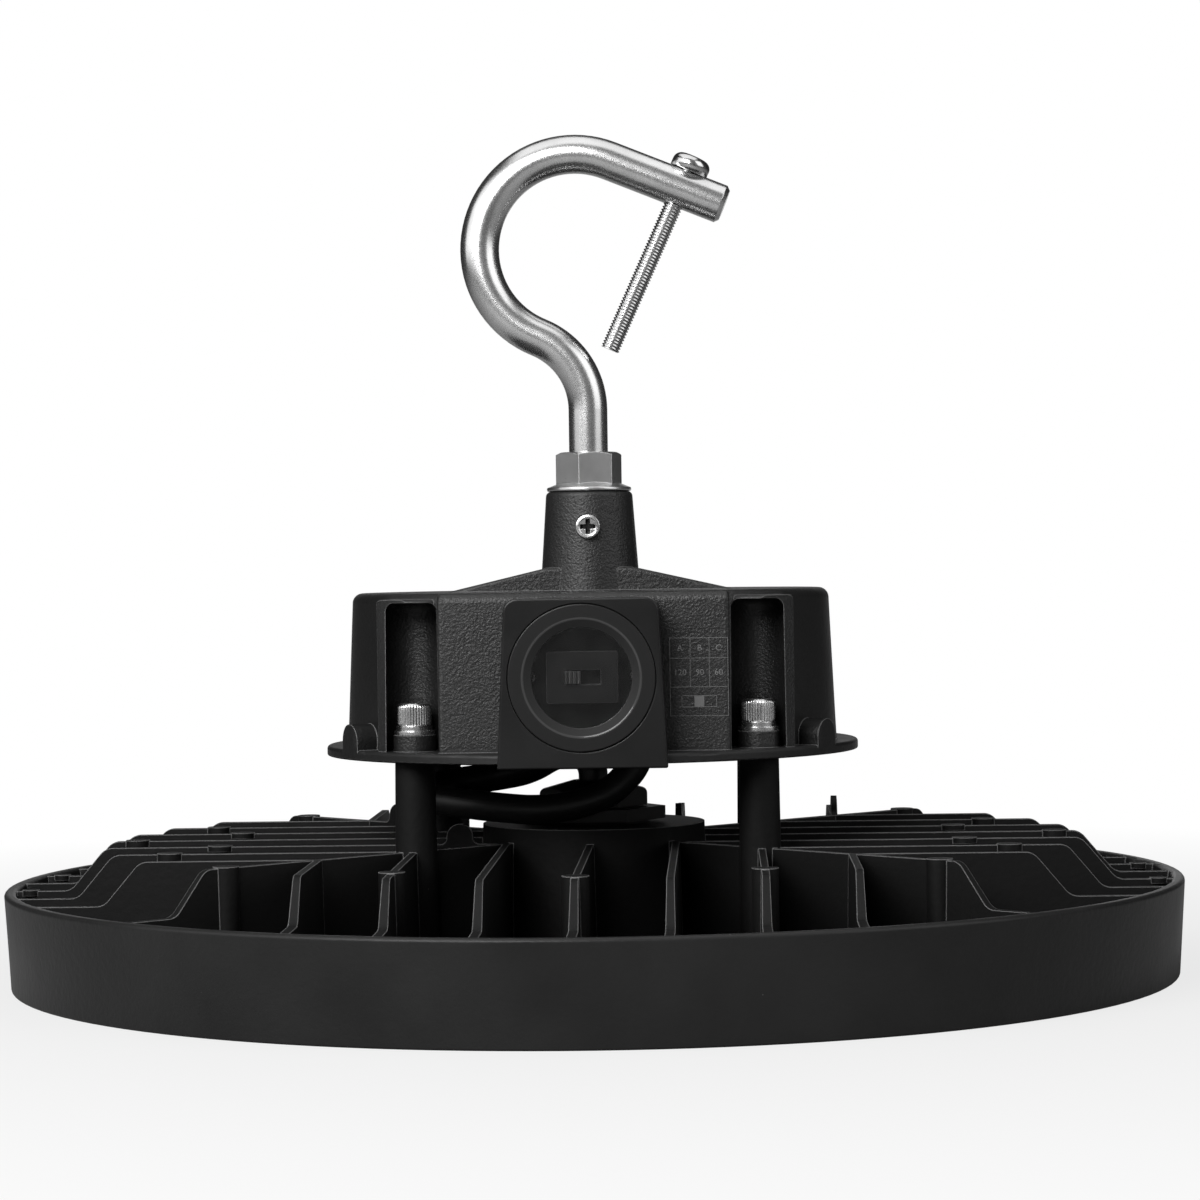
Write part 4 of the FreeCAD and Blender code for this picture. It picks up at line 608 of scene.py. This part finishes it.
def as_object(name, mesh, body, material, sharp_angle=SHARP_ANGLE):
    """Object from a bmesh, riding on a body."""
    bmesh.ops.recalc_face_normals(mesh, faces=mesh.faces)
    data = bpy.data.meshes.new(name)
    mesh.to_mesh(data)
    mesh.free()
    data.materials.append(material)
    data.shade_smooth()
    data.set_sharp_from_angle(angle=math.radians(sharp_angle))
    made = bpy.data.objects.new(name, data)
    bpy.context.scene.collection.objects.link(made)
    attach(made, body)
    return made


def node_mesh(node):
    """Copy of a node's mesh with its seams closed."""
    mesh = bmesh.new()
    mesh.from_mesh(nodes[node].data)
    bmesh.ops.remove_doubles(mesh, verts=mesh.verts, dist=WELD)
    return mesh


def rings_to_mesh(mesh, rings, place):
    """Closed skin over rings of points of equal count, capped at both ends."""
    rows = [[mesh.verts.new(place @ Vector(point)) for point in ring] for ring in rings]
    count = len(rows[0])
    for low, high in zip(rows, rows[1:]):
        for i in range(count):
            j = (i + 1) % count
            mesh.faces.new((low[i], low[j], high[j], high[i]))
    mesh.faces.new(rows[0])
    mesh.faces.new(list(reversed(rows[-1])))


def lathe_ring(radius, height, count):
    """Ring of points; the radius is a number or a function of the angle."""
    points = []
    for i in range(count):
        angle = 2 * math.pi * i / count
        reach = radius(angle) if callable(radius) else radius
        points.append((reach * math.cos(angle), reach * math.sin(angle), height))
    return points


def rotation(start, end):
    """Matrix that turns one direction to another."""
    return start.rotation_difference(end).to_matrix().to_4x4()


def cut_away(mesh, point, direction):
    """Cuts off what lies beyond a plane and closes the cut."""
    geometry = list(mesh.verts) + list(mesh.edges) + list(mesh.faces)
    cut = bmesh.ops.bisect_plane(mesh, geom=geometry, plane_co=point, plane_no=direction,
                                 clear_outer=True)
    edges = [item for item in cut["geom_cut"] if isinstance(item, bmesh.types.BMEdge)]
    bmesh.ops.holes_fill(mesh, edges=edges, sides=0)


def thread(mesh, radius, depth, pitch, length):
    """Screw thread from z = 0 down to -length, its rows of faces following the helix."""
    rows = [(turn + share, radius - depth * deep)
            for turn in range(int(length / pitch) + 2) for share, deep in THREAD_ROWS]
    verts = []
    for along, reach in rows:
        ring = []
        for j in range(THREAD_STEPS):
            angle = 2 * math.pi * j / THREAD_STEPS
            z = pitch * (1.0 - along - j / THREAD_STEPS)
            ring.append(mesh.verts.new((reach * math.cos(angle), reach * math.sin(angle), z)))
        verts.append(ring)
    per_turn = len(THREAD_ROWS)
    for i, (upper, lower) in enumerate(zip(verts, verts[1:])):
        for j in range(THREAD_STEPS - 1):
            mesh.faces.new((upper[j], lower[j], lower[j + 1], upper[j + 1]))
        if i + 1 + per_turn < len(verts):
            mesh.faces.new((upper[-1], lower[-1],
                            verts[i + 1 + per_turn][0], verts[i + per_turn][0]))
    cut_away(mesh, (0, 0, 0), (0, 0, 1))
    cut_away(mesh, (0, 0, -length), (0, 0, -1))


def joint_axis(name):
    return Vector(next(j["axis"] for j in frame["joints"] if j["name"] == name)).normalized()


def box_of(verts):
    """Lowest and highest corner of some vertices."""
    return [Vector([pick(v.co[i] for v in verts) for i in range(3)]) for pick in (min, max)]


def separate_boxes(mesh):
    """Lowest and highest corner of each connected piece of a mesh."""
    left = set(mesh.verts)
    boxes = []
    while left:
        queue = [left.pop()]
        group = list(queue)
        while queue:
            for edge in queue.pop().link_edges:
                for vert in edge.verts:
                    if vert in left:
                        left.remove(vert)
                        queue.append(vert)
                        group.append(vert)
        boxes.append(box_of(group))
    return boxes


# Pieces

def gate_screw(finish):
    """The hook's long screw with its real thread; the head is the node's own."""
    up = joint_axis("gate_travel")
    mesh = node_mesh("gate_screw")
    reach = [vert.co.dot(up) for vert in mesh.verts]
    tip = min(reach)
    end = [vert.co for vert in mesh.verts if vert.co.dot(up) < tip + GATE_TIP]
    shank_length = max(reach) - GATE_HEAD_HEIGHT - tip
    under_head = sum(end, Vector()) / len(end) + up * shank_length
    cut_away(mesh, under_head - up * GATE_OVERLAP, -up)
    shank = bmesh.new()
    thread(shank, GATE_RADIUS, THREAD_DEPTH, GATE_PITCH, shank_length)
    shank.transform(Matrix.Translation(under_head) @ rotation(UP, up))
    joined = bpy.data.meshes.new("joined")
    shank.to_mesh(joined)
    shank.free()
    mesh.from_mesh(joined)
    bpy.data.meshes.remove(joined)
    material = finish["steel_threaded"]
    made = as_object("gate_screw_threaded", mesh, "gate", material)
    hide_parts("gate_screw")


def hexagon_reach(width, extra=0.0):
    """Distance from the centre to a hexagon's side at an angle."""
    def reach(angle):
        share = (angle + math.pi / 6) % (math.pi / 3) - math.pi / 6
        return width / 2 / math.cos(share) + extra
    return reach


def knurl_reach(radius):
    """Distance to a knurled edge at an angle: pointed ribs."""
    def reach(angle):
        share = angle * KNURLS / (2 * math.pi) % 1.0
        return radius - KNURL_DEPTH * abs(2 * share - 1)
    return reach


def cross_reach(arm, half):
    """Distance from the centre to the outline of a cross at an angle."""
    def reach(angle):
        share = abs((angle + math.pi / 4) % (math.pi / 2) - math.pi / 4)
        return min(arm / math.cos(share), half / max(math.sin(share), 0.001))
    return reach


def cap_screws(finish):
    """Socket screws with knurled heads, at the places of the frame's plain ones."""
    low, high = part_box("cap_screws")
    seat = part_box("spring_washers")[1].z
    half = high.x - HEAD_RADIUS
    knurled = knurl_reach(HEAD_RADIUS)
    bare = HEAD_RADIUS - KNURL_DEPTH
    socket = hexagon_reach(SOCKET_WIDTH)
    profile = [
        (SHANK_RADIUS * SHANK_TIP_SHARE, low.z),
        (SHANK_RADIUS, low.z + SHANK_TIP_HEIGHT),
        (SHANK_RADIUS, seat),
        (bare - HEAD_BREAK, seat),
        (bare, seat + HEAD_BREAK),
        (knurled, seat + KNURL_FOOT),
        (knurled, high.z - KNURL_TOP),
        (bare, high.z - HEAD_BEVEL[1]),
        (bare - HEAD_BEVEL[0], high.z),
        (hexagon_reach(SOCKET_WIDTH, SOCKET_BEVEL), high.z),
        (socket, high.z - SOCKET_BEVEL),
        (socket, high.z - SOCKET_DEPTH),
        (SOCKET_POINT[0], high.z - SOCKET_DEPTH - SOCKET_POINT[1]),
    ]
    rings = [lathe_ring(radius, z, KNURLS * KNURL_STEPS) for radius, z in profile]
    mesh = bmesh.new()
    for x in (-half, half):
        for y in (-half, half):
            rings_to_mesh(mesh, rings, Matrix.Translation((x, y, 0)))
    made = as_object("cap_screws_knurled", mesh, "fixture",
                     finish["steel_bright"], TURNED_SHARP_ANGLE)
    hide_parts("cap_screws")


def hook_set_screw(finish):
    """Cross recess screw in the front of the hook's boss, with a bright rim round its dish."""
    low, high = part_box("hook_set_screw")
    radius = (high.x - low.x) / 2
    height = high.y - low.y
    dish = height - SET_DISH
    inside = radius - SET_EDGE - SET_RIM
    rounding = SET_EDGE * SET_EDGE_ROUND
    profile = [
        (SET_SHANK_RADIUS, 0.0),
        (SET_SHANK_RADIUS, height - SET_HEAD),
        (radius, height - SET_HEAD),
        (radius, height - SET_EDGE),
        (radius - rounding, height - rounding),
        (radius - SET_EDGE, height),
        (inside, height),
        (inside - SET_SLOPE, dish),
        (cross_reach(CROSS_ARM, CROSS_HALF), dish),
        (cross_reach(CROSS_ARM * CROSS_TAPER, CROSS_HALF * CROSS_TAPER), height - CROSS_DEPTH),
    ]
    rings = [lathe_ring(reach, z, CROSS_STEPS) for reach, z in profile]
    middle = (low + high) / 2
    place = Matrix.Translation((middle.x, high.y, middle.z)) @ rotation(UP, FRONT)
    mesh = bmesh.new()
    rings_to_mesh(mesh, rings, place)
    made = as_object("hook_set_screw_cross", mesh, "fixture",
                     finish["steel_recessed"], TURNED_SHARP_ANGLE)
    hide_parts("hook_set_screw")


def led_discs(finish):
    """Yellow light emitting disc under each LED."""
    chips = node_mesh("led_chips")
    mesh = bmesh.new()
    for low, high in separate_boxes(chips):
        radius = (high.x - low.x) / 2 * LED_DISC_SHARE
        rings = [lathe_ring(radius, low.z - LED_DISC_PROUD, LED_DISC_STEPS),
                 lathe_ring(radius, low.z, LED_DISC_STEPS)]
        middle = (low + high) / 2
        rings_to_mesh(mesh, rings, Matrix.Translation((middle.x, middle.y, 0)))
    chips.free()
    as_object("led_discs", mesh, "fixture", finish["phosphor"])


def flat_beside_window():
    """Place on the housing's flat right of the window: origin at x = z = 0, x across, y up."""
    data = nodes["driver_housing"].data
    faces = [f for f in data.polygons if f.normal.y < FACES_FRONT and f.center.x > LEGEND_LEFT
             and LEGEND_BOTTOM - LEGEND_MARGIN < f.center.z < LEGEND_TOP + LEGEND_MARGIN]
    flat = max(faces, key=lambda face: face.area)
    normal = flat.normal.normalized()
    across = UP.cross(normal).normalized()
    up = normal.cross(across)
    origin = Vector((0.0, flat.center.dot(normal) / normal.y, 0.0))
    return Matrix.Translation(origin) @ Matrix((across, up, normal)).transposed().to_4x4()


def bar(mesh, x0, x1, y0, y1, place):
    """Thin printed bar on a place's xy plane."""
    rings = [[(x0, y0, z), (x1, y0, z), (x1, y1, z), (x0, y1, z)] for z in (0.0, LEGEND_THICK)]
    rings_to_mesh(mesh, rings, place)


def between(low, high, share):
    return low + (high - low) * share


def words(mesh, text, x, y, place):
    """Printed letters centred on a point of the place's xy plane."""
    data = bpy.data.curves.new("letters", "FONT")
    data.body = text
    data.size = LETTER_SIZE
    data.align_x = "CENTER"
    data.align_y = "CENTER"
    data.resolution_u = 3
    data.extrude = LEGEND_THICK / 2
    holder = bpy.data.objects.new("letters", data)
    letters = bpy.data.meshes.new_from_object(holder)
    letters.transform(place @ Matrix.Translation((x, y, LEGEND_THICK / 2)))
    mesh.from_mesh(letters)
    bpy.data.objects.remove(holder)
    bpy.data.curves.remove(data)
    bpy.data.meshes.remove(letters)


def legend(finish):
    """Printed table of plain letters and numbers, with the slide switch drawn below."""
    place = flat_beside_window()
    mesh = bmesh.new()
    half = LEGEND_LINE / 2
    columns = [between(LEGEND_LEFT, LEGEND_RIGHT, share) for share in LEGEND_COLUMNS]
    rows = [between(LEGEND_BOTTOM, LEGEND_TOP, share) for share in LEGEND_ROWS]
    for y in rows:
        bar(mesh, columns[0] - half, columns[-1] + half, y - half, y + half, place)
    for i, x in enumerate(columns):
        low = rows[0] if i in (0, len(columns) - 1) else rows[1]
        bar(mesh, x - half, x + half, low + half, rows[-1] - half, place)
    for line, (low, high) in zip(LEGEND_WORDS, ((rows[2], rows[3]), (rows[1], rows[2]))):
        for text, left, right in zip(line, columns, columns[1:]):
            words(mesh, text, (left + right) / 2, (low + high) / 2, place)
    width, height = SLIDER_SIZE
    x = (columns[0] + columns[-1]) / 2
    y = (rows[0] + rows[1]) / 2
    low = y - height / 2 + half
    high = y + height / 2 - half
    for side in (-1, 1):
        edge = y + side * height / 2
        bar(mesh, x - width / 2, x + width / 2, edge - half, edge + half, place)
        end = x + side * width / 2
        bar(mesh, end - half, end + half, low, high, place)
    knob = width * SLIDER_KNOB_SHARE
    bar(mesh, x - knob, x + knob, low, high, place)
    as_object("legend", mesh, "fixture", finish["legend"])


# Stage, light and camera

def floor_material():
    """White to the camera and in reflections from behind; it keeps the object's soft shadow."""
    surface = Surface("floor_white", FLOOR_COLOUR, FLOOR_ROUGHNESS)
    surface.put("Specular IOR Level", 0.0)
    tree = surface.tree
    glow = surface.add("ShaderNodeEmission")
    surface.put("Color", WHITE, glow)
    path = surface.add("ShaderNodeLightPath")
    back = surface.axis("Y")
    behind = surface.spread(back, *FLOOR_REFLECTION)
    aside = surface.math("ABSOLUTE", surface.axis("X"))
    aside = surface.math("SUBTRACT", aside, surface.math("MULTIPLY", back, FLOOR_ASIDE))
    straight = surface.spread(aside, FLOOR_SOFT_EDGE, -FLOOR_SOFT_EDGE)
    behind = surface.math("MULTIPLY", behind, straight)
    mirrored = surface.math("MULTIPLY", path.outputs["Is Glossy Ray"], behind)
    seen = surface.math("MAXIMUM", path.outputs["Is Camera Ray"], mirrored)
    seen = surface.math("MAXIMUM", seen, path.outputs["Is Transmission Ray"])
    away = surface.reach(ORIGIN, IN_PLAN)
    far = surface.spread(away, *SHADOW_REACH, 1.0 - SHADOW_SHARE, 1.0)
    blend = surface.add("ShaderNodeMixShader")
    surface.put("Fac", surface.math("MULTIPLY", seen, far), blend)
    connect(tree, blend.inputs[1], surface.shader.outputs[0])
    connect(tree, blend.inputs[2], glow.outputs[0])
    connect(tree, tree.nodes["Material Output"].inputs["Surface"], blend.outputs[0])
    return surface.material


def floor():
    mesh = bpy.data.meshes.new("floor")
    turns = ((-1, -1), (1, -1), (1, 1), (-1, 1))
    corners = [(x * FLOOR_HALF, y * FLOOR_HALF, 0.0) for x, y in turns]
    mesh.from_pydata(corners, [], [(0, 1, 2, 3)])
    mesh.materials.append(floor_material())
    made = bpy.data.objects.new("floor", mesh)
    bpy.context.scene.collection.objects.link(made)


def world():
    """White backdrop for the camera, and for reflections a dim room with that backdrop behind."""
    made = bpy.data.worlds.new("studio")
    made.use_nodes = True
    tree = made.node_tree

    def ramp(value, edges, levels):
        node = tree.nodes.new("ShaderNodeMapRange")
        connect(tree, node.inputs["Value"], value)
        for name, number in zip(("From Min", "From Max", "To Min", "To Max"), edges + levels):
            connect(tree, node.inputs[name], number)
        return node.outputs["Result"]

    shade = tree.nodes["Background"]
    path = tree.nodes.new("ShaderNodeLightPath")
    split = tree.nodes.new("ShaderNodeSeparateXYZ")
    connect(tree, split.inputs[0], tree.nodes.new("ShaderNodeTexCoord").outputs["Generated"])
    front = ramp(split.outputs["Y"], FRONT_EDGE, (FRONT_LEVEL, SIDE_LEVEL))
    back = ramp(split.outputs["Y"], BACKDROP_EDGE, (0.0, 1.0))
    mirrored = tree.nodes.new("ShaderNodeMath")
    mirrored.operation = "MAXIMUM"
    connect(tree, mirrored.inputs[0], front)
    connect(tree, mirrored.inputs[1], back)
    level = ROOM_LEVEL
    for ray, target in (("Is Glossy Ray", mirrored.outputs[0]), ("Is Transmission Ray", 1.0),
                        ("Is Camera Ray", 1.0)):
        mix = tree.nodes.new("ShaderNodeMix")
        connect(tree, mix.inputs["Factor"], path.outputs[ray])
        connect(tree, mix.inputs["A"], level)
        connect(tree, mix.inputs["B"], target)
        level = mix.outputs["Result"]
    connect(tree, shade.inputs["Color"], WHITE)
    connect(tree, shade.inputs["Strength"], level)
    bpy.context.scene.world = made


def direction(turn, rise):
    """Direction from the part: turned from the front to the right, and raised."""
    return Vector((math.sin(turn) * math.cos(rise), -math.cos(turn) * math.cos(rise),
                   math.sin(rise)))


def lamps():
    """Soft rectangular lamps turned to the part's middle."""
    for name, turn, rise, distance, size, level in LAMPS:
        towards = direction(math.radians(turn), math.radians(rise))
        data = bpy.data.lights.new(name, "AREA")
        data.shape = "RECTANGLE"
        data.size, data.size_y = size
        data.energy = level * (math.pi * distance) ** 2
        made = bpy.data.objects.new(name, data)
        made.location = LAMP_AIM + towards * distance
        made.rotation_mode = "QUATERNION"
        made.rotation_quaternion = (-towards).to_track_quat("-Z", "Y")
        made.visible_camera = False
        bpy.context.scene.collection.objects.link(made)


def camera():
    """Camera at the photograph's viewing angle."""
    across = Vector((math.cos(CAMERA_TURN), math.sin(CAMERA_TURN), 0.0))
    back = direction(CAMERA_TURN, CAMERA_PITCH)
    up = back.cross(across)
    right = across * math.cos(CAMERA_ROLL) - up * math.sin(CAMERA_ROLL)
    top = across * math.sin(CAMERA_ROLL) + up * math.cos(CAMERA_ROLL)
    data = bpy.data.cameras.new("camera")
    data.lens = CAMERA_LENS
    data.sensor_width = SENSOR_WIDTH
    made = bpy.data.objects.new("camera", data)
    axes = Matrix((right, top, back)).transposed().to_4x4()
    made.matrix_world = Matrix.Translation(CAMERA_AIM + back * CAMERA_DISTANCE) @ axes
    bpy.context.scene.collection.objects.link(made)
    bpy.context.scene.camera = made


def main():
    bpy.context.scene.view_settings.view_transform = "Standard"
    camera()
    finish = finishes()
    dress(finish)
    gate_screw(finish)
    cap_screws(finish)
    hook_set_screw(finish)
    led_discs(finish)
    legend(finish)
    floor()
    world()
    lamps()


main()
